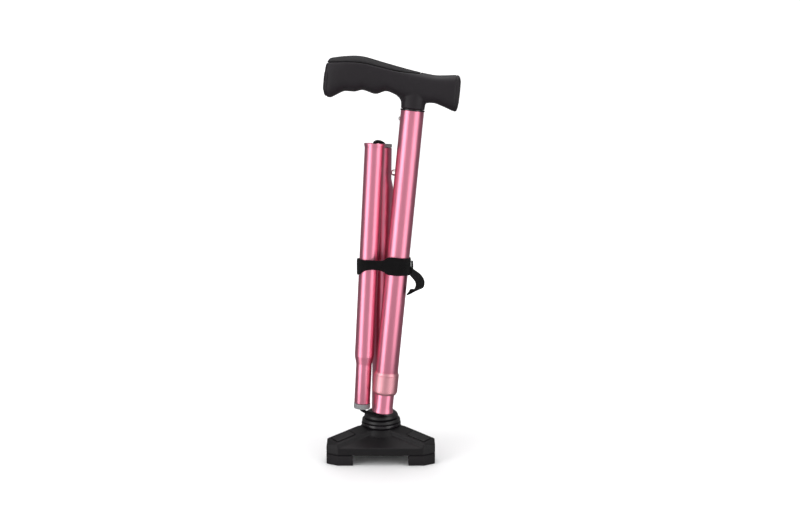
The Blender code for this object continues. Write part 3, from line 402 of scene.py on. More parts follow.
def finish(name):
    """The named material, made on first use."""
    found = bpy.data.materials.get(name)
    if found:
        return found
    colours, sizes = bpy.context.scene.cane_colours, bpy.context.scene.cane_sizes
    plastic, rubber, grain = colours.plastic, colours.rubber, sizes.grain_size
    maker, *values = {
        "rose_tube": (anodised, colours.rose, 0.35),
        "rose_collar": (anodised, colours.collar, 0.42),
        "grained_plastic": (moulded, plastic, 0.52, grain, 0.00007),
        "base_plastic": (moulded, shade(plastic, 0.42), 0.5, grain * 0.7, 0.00005),
        "soft_rubber": (moulded, rubber, 0.66, grain * 0.6, 0.00004),
        "boot_rubber": (smooth_plastic, rubber, 0.36),
        "ribbed_insert": (ribbed_rubber, rubber, 0.0016),
        "gloss_moulding": (smooth_plastic, shade(plastic, 0.8), 0.2),
        "grey_moulding": (smooth_plastic, colours.grey, 0.42),
        "plated_steel": (bright_metal, colours.steel, 0.26),
        "black_webbing": (woven, colours.webbing, sizes.web_rib),
        "braided_cord": (braided, colours.webbing, 0.0016),
    }[name]
    return maker(name, *values)


# Mesh helpers
def linked(name, mesh, place=None):
    """A new object in the scene, its mesh moved to its place."""
    obj = bpy.data.objects.new(name, mesh)
    bpy.context.scene.collection.objects.link(obj)
    if place is not None:
        mesh.transform(place)
    return obj


def built(name, work, place=None):
    """A new object from a finished bmesh, its faces turned outward."""
    bmesh.ops.recalc_face_normals(work, faces=work.faces)
    mesh = bpy.data.meshes.new(name)
    work.to_mesh(mesh)
    work.free()
    return linked(name, mesh, place)


def settled(obj):
    """Replace the object's mesh by what its modifiers make of it."""
    bpy.context.view_layer.update()
    graph = bpy.context.evaluated_depsgraph_get()
    mesh = bpy.data.meshes.new_from_object(obj.evaluated_get(graph))
    old = obj.data
    obj.modifiers.clear()
    obj.data = mesh
    bpy.data.meshes.remove(old)
    return obj


def cut(obj, other, operation="DIFFERENCE"):
    """Cut the object by another, which is used up."""
    step = obj.modifiers.new("Cut", "BOOLEAN")
    step.operation = operation
    step.object = other
    step.solver = "EXACT"
    settled(obj)
    bpy.data.objects.remove(other)
    return obj


def sheen_smooth(obj, angle=30):
    """Shade smooth, but for edges sharper than the angle."""
    obj.data.shade_smooth()
    obj.data.set_sharp_from_angle(angle=math.radians(angle))
    return obj


def bevelled(obj, width, segments, angle):
    """Round the sharp edges, then shade smooth."""
    step = obj.modifiers.new("Edge", "BEVEL")
    step.width, step.segments, step.limit_method = width, segments, "ANGLE"
    return sheen_smooth(settled(obj), angle)


def moulding(obj, grid, rounds):
    """Round off a blocky solid as a moulding: an even mesh, relaxed."""
    mesh = obj.modifiers.new("Grid", "REMESH")
    mesh.mode = "VOXEL"
    mesh.voxel_size = grid
    relax = obj.modifiers.new("Relax", "SMOOTH")
    relax.factor = 0.5
    relax.iterations = rounds
    settled(obj)
    obj.data.shade_smooth()
    return obj


def dress(obj, material, body, *nodes):
    """Give a finished piece its material, the body it rides on and the frame nodes it stands for."""
    obj.data.materials.clear()
    obj.data.materials.append(finish(material))
    if body:
        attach(obj, body)
    if nodes:
        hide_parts(*nodes)
    return obj


def scaled(line):
    """Points given in millimetres, in metres."""
    return [(x * MM, z * MM) for x, z in line]


def circle(count):
    """Cosine and sine of even turns."""
    return [(math.cos(2 * math.pi * i / count), math.sin(2 * math.pi * i / count)) for i in range(count)]


def power(value, exponent):
    """The value to a power, with its sign kept."""
    return math.copysign(abs(value) ** exponent, value)


def spun(name, rows, place, closed=True):
    """Skin down through rings of points. A ring of one point closes to it."""
    work = bmesh.new()
    steps = max(len(row) for row in rows)
    grid = []
    for row in rows:
        verts = [work.verts.new(point) for point in row]
        grid.append(verts if len(verts) > 1 else verts * steps)
    for upper, lower in zip(grid, grid[1:] + (grid[:1] if closed else [])):
        for i in range(steps):
            j = (i + 1) % steps
            corners = list(dict.fromkeys((upper[i], lower[i], lower[j], upper[j])))
            if len(corners) > 2:
                work.faces.new(corners)
    return built(name, work, place)


def turned(name, profile, place, steps=96, closed=True):
    """Turn a profile of (radius, height) points about Z. It runs down the outer side first."""
    around = circle(steps)
    rows = [[(r * c, r * s, z) for c, s in around] if r >= EPS else [(0, 0, z)] for r, z in profile]
    return sheen_smooth(spun(name, rows, place, closed))


def softened(profile, radius):
    """Round every corner of a closed profile with three points."""
    made = []
    count = len(profile)
    for i in range(count):
        before, here, after = (Vector(profile[(i + k) % count]) for k in (-1, 0, 1))
        reach = min(radius, (before - here).length / 2.2, (after - here).length / 2.2)
        start = here + (before - here).normalized() * reach
        end = here + (after - here).normalized() * reach
        middle = (start + end) / 4 + here / 2
        made += [tuple(start), tuple(middle), tuple(end)]
    return made


def prism(name, outline, low, high, place=None):
    """A flat outline of (x, y) points, extruded along Z."""
    work = bmesh.new()
    floor = work.faces.new([work.verts.new((x, y, low)) for x, y in outline])
    grown = bmesh.ops.extrude_face_region(work, geom=[floor])
    tops = [v for v in grown["geom"] if isinstance(v, bmesh.types.BMVert)]
    bmesh.ops.translate(work, vec=(0, 0, high - low), verts=tops)
    return built(name, work, place)


def block(name, x, y, low, high, place):
    """A box that reaches x and y to each side."""
    return prism(name, [(-x, -y), (x, -y), (x, y), (-x, y)], low, high, place)


def loft(name, rows, place=None):
    """Skin through rows of points of equal count, capped at both ends."""
    work = bmesh.new()
    grid = [[work.verts.new(point) for point in row] for row in rows]
    count = len(rows[0])
    for lower, upper in zip(grid, grid[1:]):
        for i in range(count):
            j = (i + 1) % count
            work.faces.new((lower[i], lower[j], upper[j], upper[i]))
    work.faces.new(grid[0][::-1])
    work.faces.new(grid[-1])
    return built(name, work, place)


def catmull_rom(a, b, c, d, t):
    square = 2 * a - 5 * b + 4 * c - d
    cube = 3 * b - a - 3 * c + d
    return 0.5 * (2 * b + (c - a) * t + square * t**2 + cube * t**3)


def smooth_line(points, steps):
    """A smooth line through the points, with this many steps between each two."""
    ends = [points[0], *points, points[-1]]
    line = []
    for span in zip(ends, ends[1:], ends[2:], ends[3:]):
        for i in range(steps):
            line.append(tuple(catmull_rom(*values, i / steps) for values in zip(*span)))
    line.append(tuple(points[-1]))
    return line


def value_at(line, x, column=1):
    """The value of a table of (x, ...) rows at x."""
    for low, high in zip(line, line[1:]):
        if low[0] <= x <= high[0]:
            return low[column] + (high[column] - low[column]) * (x - low[0]) / (high[0] - low[0])
    return line[0][column] if x < line[0][0] else line[-1][column]


def heading(points, i):
    """Direction of a line of points at one of them."""
    return (points[min(i + 1, len(points) - 1)] - points[max(i - 1, 0)]).normalized()


def uv_face(work, layer, corners):
    """A face from (vertex, u, v) corners."""
    face = work.faces.new([corner[0] for corner in corners])
    for loop, (_, u, v) in zip(face.loops, corners):
        loop[layer].uv = (u, v)


def ribbon(name, stations, thickness, closed=False, columns=8):
    """Webbing through stations of (middle, half width vector, outward normal), with UVs in metres."""
    work = bmesh.new()
    layer = work.loops.layers.uv.new("UVMap")
    ring = [(2 * k / columns - 1, 1) for k in range(columns + 1)]
    ring += [(1 - 2 * k / columns, -1) for k in range(columns + 1)]
    along, rows, previous = 0.0, [], None
    for middle, half, normal in stations:
        along += (middle - previous).length if previous is not None else 0.0
        previous = middle
        row = []
        for across, side in ring:
            edge = max(0.0, abs(across) - 0.8) / 0.2
            depth = thickness / 2 * side * (1 - 0.45 * edge)
            vert = work.verts.new(middle + half * across + normal * depth)
            row.append((vert, across * half.length, along))
        rows.append(row)
    pairs = list(zip(rows, rows[1:]))
    if closed:
        end = along + (stations[0][0] - previous).length
        pairs.append((rows[-1], [(vert, u, end) for vert, u, _ in rows[0]]))
    for lower, upper in pairs:
        for i in range(len(ring)):
            j = (i + 1) % len(ring)
            uv_face(work, layer, (lower[i], lower[j], upper[j], upper[i]))
    if not closed:
        for row in (rows[0][::-1], rows[-1]):
            work.faces.new([corner[0] for corner in row])
    return sheen_smooth(built(name, work), 50)


def tube_along(name, points, radius, around=20):
    """A round cord along points in the row frame, with UVs in metres and flat ends."""
    work = bmesh.new()
    layer = work.loops.layers.uv.new("UVMap")
    points = [Vector(p) for p in points]
    side = heading(points, 0).orthogonal().normalized()
    rows, along = [], 0.0
    for i, here in enumerate(points):
        ahead = heading(points, i)
        side = (side - ahead * side.dot(ahead)).normalized()
        other = ahead.cross(side)
        along += (here - points[i - 1]).length if i else 0.0
        row = []
        for k, (c, s) in enumerate(circle(around)):
            out = side * c + other * s
            row.append((work.verts.new(here + out * radius), radius * (2 * math.pi * k / around), along))
        # The seam's points again, a full turn on, for the last face's UVs.
        rows.append([*row, (row[0][0], row[0][1] + 2 * math.pi * radius, along)])
    for lower, upper in zip(rows, rows[1:]):
        for i in range(around):
            uv_face(work, layer, (lower[i], lower[i + 1], upper[i + 1], upper[i]))
    work.faces.new([corner[0] for corner in rows[0][:-1]][::-1])
    work.faces.new([corner[0] for corner in rows[-1][:-1]])
    return sheen_smooth(built(name, work), 60)


def cross_hole(obj, height, low, high):
    """Bore the button's hole through one wall of a tube along the handle."""
    radius = BUTTON_RADIUS + GAP
    outline = [(radius * c, radius * s) for c, s in circle(28)]
    place = HANDLE_AT @ shift(0, 0, height) @ (spin(BUTTON_TURN) @ spin(90, "Y"))
    return cut(obj, prism("drill", outline, low, high, place))


# Operators, one for each group of pieces
class CANE_OT_tubes(Operator):
    """Build the four anodised tubes with their swelled mouths, reduced tips and height holes"""

    bl_idname = "cane.tubes"
    bl_label = "Tubes"

    def execute(self, context):
        r, b, m = SECTION_RADIUS, BORE_RADIUS, MOUTH_RADIUS
        m_bore = m - WALL
        cone = LOWER_END - LOWER_TIP
        lower = [(TIP_RADIUS, LOWER_END), (TIP_RADIUS, cone), (r, cone - SWAGE), (r, LOWER_START)]
        lower += [(b, LOWER_START), (b, cone - SWAGE), (TIP_BORE, cone), (TIP_BORE, LOWER_END)]
        tube = turned("lower_tube_skin", softened(lower, 0.5 * MM), LOWER_AT)
        dress(tube, "rose_tube", "lower_section", "lower_tube")

        end = -MIDDLE_LENGTH
        cone = end + MIDDLE_TIP
        middle = [(m, 0), (m, -MOUTH_LIP), (r, -BELL), (r, cone + SWAGE)]
        middle += [(TIP_RADIUS, cone), (TIP_RADIUS, end), (TIP_BORE, end), (TIP_BORE, cone)]
        middle += [(b, cone + SWAGE), (b, -BELL)]
        middle += [(m_bore, -MOUTH_LIP), (m_bore, 0)]
        tube = turned("middle_tube_skin", softened(middle, 0.5 * MM), MIDDLE_AT)
        dress(tube, "rose_tube", "middle_section", "middle_tube")

        inner = [(r, INNER_LENGTH), (r, BELL), (m, MOUTH_LIP), (m, 0), (m_bore, 0), (m_bore, MOUTH_LIP)]
        inner += [(b, BELL), (b, INNER_LENGTH)]
        tube = turned("inner_tube_skin", softened(inner, 0.5 * MM), HANDLE_AT)
        cross_hole(tube, BUTTON_START, 2 * MM, 20 * MM)
        dress(sheen_smooth(tube), "rose_tube", "inner_section", "inner_tube")

        top = HANDLE_START - 0.1 * MM
        outer = [(OUTER_RADIUS, top), (OUTER_RADIUS, OUTER_START)]
        outer += [(OUTER_BORE, OUTER_START), (OUTER_BORE, top)]
        tube = turned("outer_tube_skin", softened(outer, 0.4 * MM), HANDLE_AT)
        for n in range(HOLE_COUNT):
            cross_hole(tube, BUTTON_START - n * HOLE_PITCH, 4 * MM, 20 * MM)
        dress(sheen_smooth(tube), "rose_tube", "handle_section", "outer_tube")
        return {"FINISHED"}


class CANE_OT_end_rings(Operator):
    """Build the grey rings that close the two reduced tips"""

    bl_idname = "cane.end_rings"
    bl_label = "End rings"

    def execute(self, context):
        for name, length, place, body, sign in (
            ("lower", LOWER_RING, LOWER_AT @ shift(0, 0, LOWER_END), "lower_section", 1),
            ("middle", MIDDLE_RING, MIDDLE_AT @ shift(0, 0, -MIDDLE_LENGTH), "middle_section", -1),
        ):
            outer, spigot, hole = TIP_RADIUS + 0.25 * MM, TIP_BORE - GAP, CORD_RADIUS + GAP
            steps = [(hole + 0.8 * MM, length), (outer - 0.3 * MM, length), (outer, length - 0.6 * MM)]
            steps += [(outer, GAP), (spigot, GAP), (spigot, -6 * MM), (hole, -6 * MM)]
            steps += [(hole, length - 0.8 * MM)]
            profile = softened([(r, sign * h) for r, h in steps], 0.35 * MM)
            made = turned(name + "_ring_moulding", profile, place, 64)
            dress(made, "grey_moulding", body, name + "_end_ring")
        return {"FINISHED"}


class CANE_OT_collar(Operator):
    """Build the knurled locking collar, cut in crossed grooves between two plain chamfers"""

    bl_idname = "cane.collar"
    bl_label = "Collar"

    def execute(self, context):
        depth = context.scene.cane_sizes.knurl_depth
        low, high = COLLAR_START, COLLAR_END
        r, chamfer = COLLAR_RADIUS, 1.3 * MM
        bore, grip, shoulder = SECTION_RADIUS + 0.6 * MM, OUTER_RADIUS + GAP, low + 2.7 * MM
        band_low, band_high = low + 3.4 * MM, high - 3.4 * MM
        count, steps, starts, lead = 26, 240, 40, 2.2 * MM
        # Rings of radius, height and whether they are knurled.
        rings = [(r - chamfer, high, 0), (r - 0.9 * chamfer, high - 0.2 * MM, 0)]
        rings += [(r, high - 2.0 * chamfer, 0), (r, band_high + 0.5 * MM, 0)]
        rings += [(r - depth, band_high + 0.2 * MM, 0)]
        rings += [(r, band_high + (band_low - band_high) * k / count, 1) for k in range(count + 1)]
        rings += [(r - depth, band_low - 0.2 * MM, 0), (r, band_low - 0.5 * MM, 0)]
        rings += [(r, low + 2.0 * chamfer, 0), (r - 0.9 * chamfer, low + 0.2 * MM, 0), (r - chamfer, low, 0)]
        rings += [(bore, low, 0), (bore, shoulder, 0), (grip, shoulder, 0), (grip, high, 0)]
        rows = []
        for radius, height, knurled in rings:
            twist = (height - low) / lead * 2 * math.pi
            row = []
            for i, (c, s) in enumerate(circle(steps)):
                turn = starts * (2 * math.pi * i / steps)
                crossed = max(math.cos(turn + twist), math.cos(turn - twist))
                out = radius - (depth * max(0.0, crossed) if knurled else 0.0)
                row.append((out * c, out * s, height))
            rows.append(row)
        collar = sheen_smooth(spun("collar_knurl", rows, HANDLE_AT), 45)
        dress(collar, "rose_collar", "collar", "locking_collar")
        return {"FINISHED"}


class CANE_OT_button(Operator):
    """Build the domed snap button and the rivet that holds the grip"""

    bl_idname = "cane.button"
    bl_label = "Button and rivet"

    def execute(self, context):
        seat = HANDLE_AT @ shift(0, 0, BUTTON_START) @ (spin(BUTTON_TURN) @ spin(90, "Y"))
        top, r, foot = OUTER_RADIUS + 4.2 * MM, BUTTON_RADIUS, BORE_RADIUS - 2.4 * MM
        dome = []
        for k in range(9):
            angle = math.pi / 2 * k / 8
            dome.append((r * math.sin(angle), top - r * 0.8 * (1 - math.cos(angle))))
        profile = [*dome, (r, foot + 0.3 * MM), (r - 0.3 * MM, foot), (0, foot)]
        button = turned("snap_button_dome", profile, seat, 48, closed=False)
        dress(button, "plated_steel", "button", "snap_button")

        seat = HANDLE_AT @ shift(0, 0, HANDLE_START - 9.7 * MM)
        seat = seat @ spin(-90, "Y") @ shift(0, 0, OUTER_RADIUS + GAP)
        head = [(0, 1.2), (0.8, 1.12), (1.5, 0.85), (2.0, 0.35), (2.1, 0.1), (2.05, -0.1)]
        head += [(1.4, -0.1), (1.4, -5), (0, -5)]
        rivet = turned("rivet_head", scaled(head), seat, 40, closed=False)
        dress(rivet, "plated_steel", "handle_section", "handle_rivet")
        return {"FINISHED"}


GRIP_TOP = [(-85.8, 27.0), (-85.4, 33.6), (-83.4, 38.4), (-79.7, 41.0), (-62.5, 44.3), (-49.8, 44.6)]
GRIP_TOP += [(-34.3, 41.8), (-17.3, 38.7), (-0.6, 36.0), (16.7, 34.1), (28.0, 34.9), (38.4, 36.1)]
GRIP_TOP += [(41.4, 34.6), (42.7, 31.0)]
GRIP_BOTTOM = [(-85.8, 9.0), (-84.2, 5.0), (-78.8, 3.5), (-72.3, 7.3), (-66.0, 10.7), (-56.2, 11.2)]
GRIP_BOTTOM += [(-48.8, 13.4), (-36.5, 10.9), (-27.0, 14.5), (-19.0, 12.6), (-9.0, 9.0), (10.0, 7.0)]
GRIP_BOTTOM += [(19.4, 7.7), (30.0, 4.8), (39.4, 1.7), (41.8, 3.6), (42.7, 10.0)]
PAD_LINE = [(-90.0, 34.9), (-66.2, 37.6), (-50.1, 38.1), (-33.8, 35.9), (-16.9, 33.8)]
PAD_LINE += [(-0.3, 33.6), (4.3, 34.2)]
GRIP_WIDTH = [(-85.8, 10.2), (-83.0, 13.2), (-70.0, 15.4), (-40.0, 16.0), (-10.0, 14.6), (10.0, 13.2)]
GRIP_WIDTH += [(30.0, 12.6), (40.5, 12.0), (42.7, 9.5)]
PAD_END = 4.3 * MM
HEEL_SEAM = 38.4 * MM
CAP_SEAM = -82.4 * MM
SEAM_TOP, SEAM_DEPTH = 27 * MM, 0.45 * MM
PLATE_TALL, PLATE_DEEP = 9.4 * MM, 8.6 * MM  # half sizes
PLATE_AT = GRIP_AT @ shift(-86.2 * MM, 0, 18.4 * MM) @ spin(-90, "Y")


def end_plate(name, grow, depth):
    """The rounded-oblong plate in the grip's left end, grown all round."""
    outline = [
        ((PLATE_TALL + grow) * power(up, 0.8), (PLATE_DEEP + grow) * power(across, 0.8))
        for across, up in circle(48)
    ]
    return prism(name, outline, -depth, 0.1 * MM + grow * 4, PLATE_AT)


def grip_loft(name):
    """A solid of rounded-oblong sections, from the grip's left end to its heel."""
    top, bottom = smooth_line(scaled(GRIP_TOP), 8), smooth_line(scaled(GRIP_BOTTOM), 8)
    width = smooth_line(scaled(GRIP_WIDTH), 6)
    start, end, stations = top[0][0], top[-1][0], 110
    rows = []
    for k in range(stations + 1):
        x = start + (end - start) * (0.5 - 0.5 * math.cos(math.pi * k / stations))
        high, low, half = (value_at(line, x) for line in (top, bottom, width))
        rows.append([
            (x, half * power(across, 0.75), (high + low) / 2 + (high - low) / 2 * power(up, 0.7))
            for across, up in circle(56)
        ])
    return loft(name, rows, GRIP_AT)


def upright(name, outline, depth=30 * MM):
    """A solid whose outline of (x, z) points is in the grip's plane, `depth` to each side."""
    return prism(name, outline, -depth, depth, GRIP_AT @ spin(90, "X"))


class CANE_OT_grip(Operator):
    """Build the moulded grip with its finger grooves, soft top pad, end plate and neck band"""

    bl_idname = "cane.grip"
    bl_label = "Grip"

    def execute(self, context):
        grid = context.scene.cane_sizes.mould_grid
        body = grip_loft("grip_shell")
        # Neck sections: height, half width, half depth.
        rows = []
        for height, wide, deep in ((0, 11.35, 11.35), (3, 11.4, 11.4), (6, 11.7, 11.6), (8, 12.6, 12.0),
                                   (10, 14.4, 12.4), (12, 17.4, 12.8), (13.5, 20.5, 12.8), (20, 21, 12.8)):
            rows.append([(wide * MM * c, deep * MM * s, height * MM) for c, s in circle(72)])
        cut(body, loft("neck", rows, GRIP_AT), "UNION")
        # Arch-shaped boss on the front of the neck.
        arch = [(-8.7, 0.4), (9.1, 0.4)]
        for k in range(17):
            angle = math.pi * k / 16
            arch.append((0.2 + 8.9 * math.cos(angle), 6.2 + 8.2 * math.sin(angle)))
        boss = upright("boss", scaled(arch))
        shell = scaled([(0, 20), (13.3, 20), (13.3, 0), (0, 0)])
        cut(boss, turned("boss_shell", shell, GRIP_AT, 64, closed=False), "INTERSECT")
        cut(body, boss, "UNION")
        line = smooth_line(scaled(PAD_LINE), 5)
        ceiling, sink = 60 * MM, 0.35 * MM
        room = [(x, z - sink) for x, z in line]
        room += [(PAD_END + sink, room[-1][1]), (PAD_END + sink, ceiling), (line[0][0], ceiling)]
        cut(body, upright("pad_room", room))
        moulding(body, grid, 5)
        # Press the two seams in.
        back = GRIP_AT.inverted()
        for vert in body.data.vertices:
            place = back @ vert.co
            at_cap = abs(place.x - CAP_SEAM) < grid * 0.55 and place.z < SEAM_TOP
            if at_cap or abs(place.x - HEEL_SEAM) < grid * 0.55:
                vert.co -= vert.normal * SEAM_DEPTH
        hollow = [(0, SOCKET_DEPTH), (OUTER_BORE, SOCKET_DEPTH), (OUTER_BORE, -1 * MM), (0, -1 * MM)]
        cut(body, turned("socket", hollow, GRIP_AT, 64, closed=False))
        cut(body, end_plate("plate_seat", 0.4 * MM, 4.6 * MM))
        dress(sheen_smooth(body, 45), "grained_plastic", "handle_section", "handle_body")

        pad = grip_loft("grip_top_pad")
        region = line + [(PAD_END, ceiling), (line[0][0], ceiling)]
        cut(pad, upright("pad_region", region), "INTERSECT")
        dress(moulding(pad, grid * 0.9, 4), "soft_rubber", "handle_section", "handle_pad")

        cap = bevelled(end_plate("grip_end_plate", 0, 4.2 * MM), 0.9 * MM, 4, 40)
        dress(cap, "base_plastic", "handle_section", "handle_end_cap")

        r, low, bore = NECK_RADIUS + 0.3 * MM, -1.7 * MM, OUTER_RADIUS + 0.1 * MM
        band = softened([(r, -0.1 * MM), (r, low), (bore, low), (bore, -0.1 * MM)], 0.3 * MM)
        dress(turned("neck_band", band, GRIP_AT), "gloss_moulding", "handle_section", "neck_ring")
        return {"FINISHED"}


def cad_copy(node, name):
    """A new mesh with the shape of a frame node."""
    mesh = frame["nodes"][node].data.copy()
    mesh.materials.clear()
    work = bmesh.new()
    work.from_mesh(mesh)
    bmesh.ops.remove_doubles(work, verts=work.verts, dist=0.000002)
    work.to_mesh(mesh)
    work.free()
    return linked(name, mesh)


class CANE_OT_base(Operator):
    """Build the three-legged base with its arm inserts and rubber feet"""

    bl_idname = "cane.base"
    bl_label = "Base"

    def execute(self, context):
        grid = context.scene.cane_sizes.mould_grid
        body = moulding(cad_copy("base_body", "base_moulding"), grid, 9)
        fall, run = ARM_HUB_HEIGHT - ARM_TIP_HEIGHT, LEG_SHOULDER - HUB_RADIUS
        height = ARM_HUB_HEIGHT + (ARM_CENTRE - HUB_RADIUS) / run * -fall
        for side, degrees in LEG_ANGLES.items():
            place = BASE_AT @ spin(degrees) @ shift(ARM_CENTRE, 0, height)
            place = place @ Matrix.Rotation(math.atan2(fall, run), 4, "Y")
            cut(body, block("seat", 10.5 * MM, 7.0 * MM, -1.3 * MM, 3 * MM, place))
            insert = block("arm_grip_" + side, 9.9 * MM, 6.4 * MM, -1.2 * MM, 0.55 * MM, place)
            insert = bevelled(insert, 0.45 * MM, 3, 40)
            dress(insert, "ribbed_insert", "base", "arm_insert_" + side)
            pad = cad_copy("foot_pad_" + side, "foot_" + side)
            pad.data.transform(Matrix.Diagonal((1, 1, 1.025, 1)))
            pad = bevelled(pad, 0.25 * MM, 2, 35)
            dress(pad, "soft_rubber", "base", "foot_pad_" + side)
        dress(sheen_smooth(body, 40), "base_plastic", "base", "base_body")
        return {"FINISHED"}


def base_ring(name, points, inner=BOOT_BORE):
    """A turned skin from an outer profile in mm, above the base, and an inner radius."""
    outer = smooth_line(scaled(points), 3)
    return turned(name, [*outer, (inner, outer[-1][1]), (inner, outer[0][1])], BASE_AT)


class CANE_OT_neck(Operator):
    """Build the glossy retaining ring and the stepped rubber boot of the neck"""

    bl_idname = "cane.neck"
    bl_label = "Neck"

    def execute(self, context):
        profile = [(19.0, 34.3), (19.5, 34.1), (19.75, 33.6), (19.8, 32.6), (19.7, 31.4), (19.2, 30.9)]
        dress(base_ring("neck_gloss_ring", profile), "gloss_moulding", "base", "retaining_ring")
        profile = [(17.4, 38.2), (18.5, 38.0), (19.1, 37.2), (19.2, 36.2), (19.1, 35.2), (18.6, 34.7)]
        boot = dress(base_ring("neck_boot_step", profile), "boot_rubber", None, "neck_boot_lower")
        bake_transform(boot)
        profile = [(10.4, 45.6), (12.0, 45.4), (14.0, 44.6), (15.6, 43.4), (16.6, 42.0), (17.0, 40.6)]
        profile += [(16.9, 39.4), (16.3, 38.6)]
        boot = dress(base_ring("neck_boot_crown", profile, 9.9 * MM), "boot_rubber", None, "neck_boot_upper")
        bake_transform(boot)
        return {"FINISHED"}


# Strap edges over the band's middle height, in mm: place across the bundle, top edge, bottom edge.
FRONT_EDGES = [(-36, 6.7, -9.6), (-32, 6.7, -8.2), (-28, 6.5, -4.6), (-23, 6.4, -2.8), (-13, 6.3, -2.6)]
FRONT_EDGES += [(-7.5, 6.6, -4.6), (-4.5, 10.2, -7.2), (4, 9.6, -7.8), (17, 8.2, -8.2)]
BACK_EDGES = [(-36, 6.7, -9.6), (-20, 5.0, -10.0), (0, 7.0, -8.6), (17, 8.2, -8.2)]


def hull(points):
    """The taut loop round a set of (x, y) points."""
    points = sorted(points)
    halves = []
    for order in (points, points[::-1]):
        chain = []
        for p in order:
            while len(chain) > 1:
                a, b = chain[-2], chain[-1]
                if (b[0] - a[0]) * (p[1] - a[1]) - (b[1] - a[1]) * (p[0] - a[0]) > 0:
                    break
                chain.pop()
            chain.append(p)
        halves += chain[:-1]
    return halves


def even(points, count):
    """Points evenly spaced round a closed line, and its length."""
    ring = [Vector(p) for p in points]
    ring.append(ring[0])
    lengths = [0.0]
    for a, b in zip(ring, ring[1:]):
        lengths.append(lengths[-1] + (b - a).length)
    made, k = [], 0
    for i in range(count):
        target = lengths[-1] * i / count
        while lengths[k + 1] < target:
            k += 1
        t = (target - lengths[k]) / (lengths[k + 1] - lengths[k])
        made.append(ring[k].lerp(ring[k + 1], t))
    return made, lengths[-1]


def strip(name, line, width, thickness):
    """Webbing beside the handle tube, from (distance from its axis, height, turn, tilt) in mm and
    degrees, and its length."""
    fine = smooth_line(line, 6)
    points = [Vector((out * MM, 0, height * MM)) for out, height, _, _ in fine]
    turned_by = HANDLE_AT.to_3x3()
    stations = []
    for i, (_, _, turn, tilt) in enumerate(fine):
        across = Vector((0, math.cos(math.radians(tilt)), math.sin(math.radians(tilt))))
        across.rotate(Matrix.Rotation(math.radians(-turn), 3, "Z"))
        middle = points[i] + Vector((across.x, 0, across.z)) * width / 2
        normal = across.cross(heading(points, i)).normalized()
        stations.append((HANDLE_AT @ middle, turned_by @ (across * width / 2), turned_by @ normal))
    length = sum((a[0] - b[0]).length for a, b in zip(stations, stations[1:]))
    return ribbon(name, stations, thickness), length


class CANE_OT_strap(Operator):
    """Build the webbing strap round the bundle, its keeper and hanging loop"""

    bl_idname = "cane.strap"
    bl_label = "Strap"

    def execute(self, context):
        thick = context.scene.cane_sizes.web_thickness
        count = 220
        height = (HANDLE_AT.translation + HANDLE_AT.to_3x3() @ UP * STRAP_HEIGHT).z
        centres = []
        for place in (LOWER_AT, MIDDLE_AT, HANDLE_AT):
            up = place.to_3x3() @ UP
            centres.append(place.translation + up * ((height - place.translation.z) / up.z))
        lower, middle, grip = centres
        stand = 0.7 * MM + GAP + thick / 2
        points = []
        for at, radius in ((lower, SECTION_RADIUS), (middle, SECTION_RADIUS), (grip, OUTER_RADIUS)):
            reach = radius + stand
            points += [(at.x + reach * c, at.y + reach * s) for c, s in circle(64)]
        path, around = even(hull(points), count)
        centre_y = sum(p.y for p in path) / len(path)
        edges = []
        for p in path:
            front = 0.5 - 0.5 * math.tanh((p.y - centre_y) / (6 * MM))
            x = p.x / MM
            edges.append([
                (front * value_at(FRONT_EDGES, x, k) + (1 - front) * value_at(BACK_EDGES, x, k)) * MM
                for k in (1, 2)
            ])
        stations, area = [], 0.0
        for i, p in enumerate(path):
            near = [edges[(i + k) % count] for k in range(-3, 4)]
            top, bottom = (sum(e[j] for e in near) / 7 for j in (0, 1))
            ahead = (path[(i + 1) % count] - path[i - 1]).normalized()
            half = (top - bottom) / 2
            at = Vector((p.x, p.y, height + (top + bottom) / 2))
            stations.append((at, UP * half, Vector((ahead.y, -ahead.x, 0))))
            area += 2 * half * around / count
        band = ribbon("strap_webbing", stations, thick, closed=True, columns=10)
        dress(band, "black_webbing", "inner_section", "strap_band")

        # Distance from the handle tube's axis to the strap's middle, for the keeper; the band's mesh is made
        # its own.
        side = OUTER_RADIUS + stand
        grip = Vector((grip.x, grip.y, height))
        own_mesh(band)

        # Keeper on the right, then the loop that hangs from the strap.
        start = side / MM + thick / MM
        line = [(start - 0.1, 151.9, 0, 0), (start + 0.5, 148, 0, 0), (start + 0.5, 145, 0, 0)]
        line += [(start - 0.1, 141, 0, 0)]
        keeper, length = strip("strap_keeper", line, 12 * MM, 2.0 * MM)
        dress(keeper, "black_webbing", "inner_section")
        line = [(12.4, 140.6, 6, 16), (14.4, 138.2, 12, 17), (17.0, 135.8, 24, 14), (19.2, 132.8, 33, 6)]
        line += [(19.8, 129.4, 34, 0), (18.6, 125.6, 34, 2), (15.4, 121.6, 28, 10), (11.8, 119.4, 16, 16)]
        tail, length = strip("strap_loop", line, 15 * MM, thick)
        dress(tail, "black_webbing", "inner_section", "strap_tail")
        return {"FINISHED"}


def loop_line(mouth, mouth_axis, depth, end, end_axis, hump):
    """A cord's line from inside a tube's mouth, over a hump and into a tip's ring."""
    inside = [mouth - mouth_axis * depth * share for share in (1, 0.7, 0.4, 0.15, 0.05)]
    rise, drop = mouth_axis * hump, end_axis * hump
    loop = [mouth + rise * 0.3, mouth.lerp(end, 0.3) + rise, mouth.lerp(end, 0.7) + drop]
    loop += [end + drop * 0.55, end]
    return smooth_line([tuple(p) for p in (*inside, *loop)], 8)


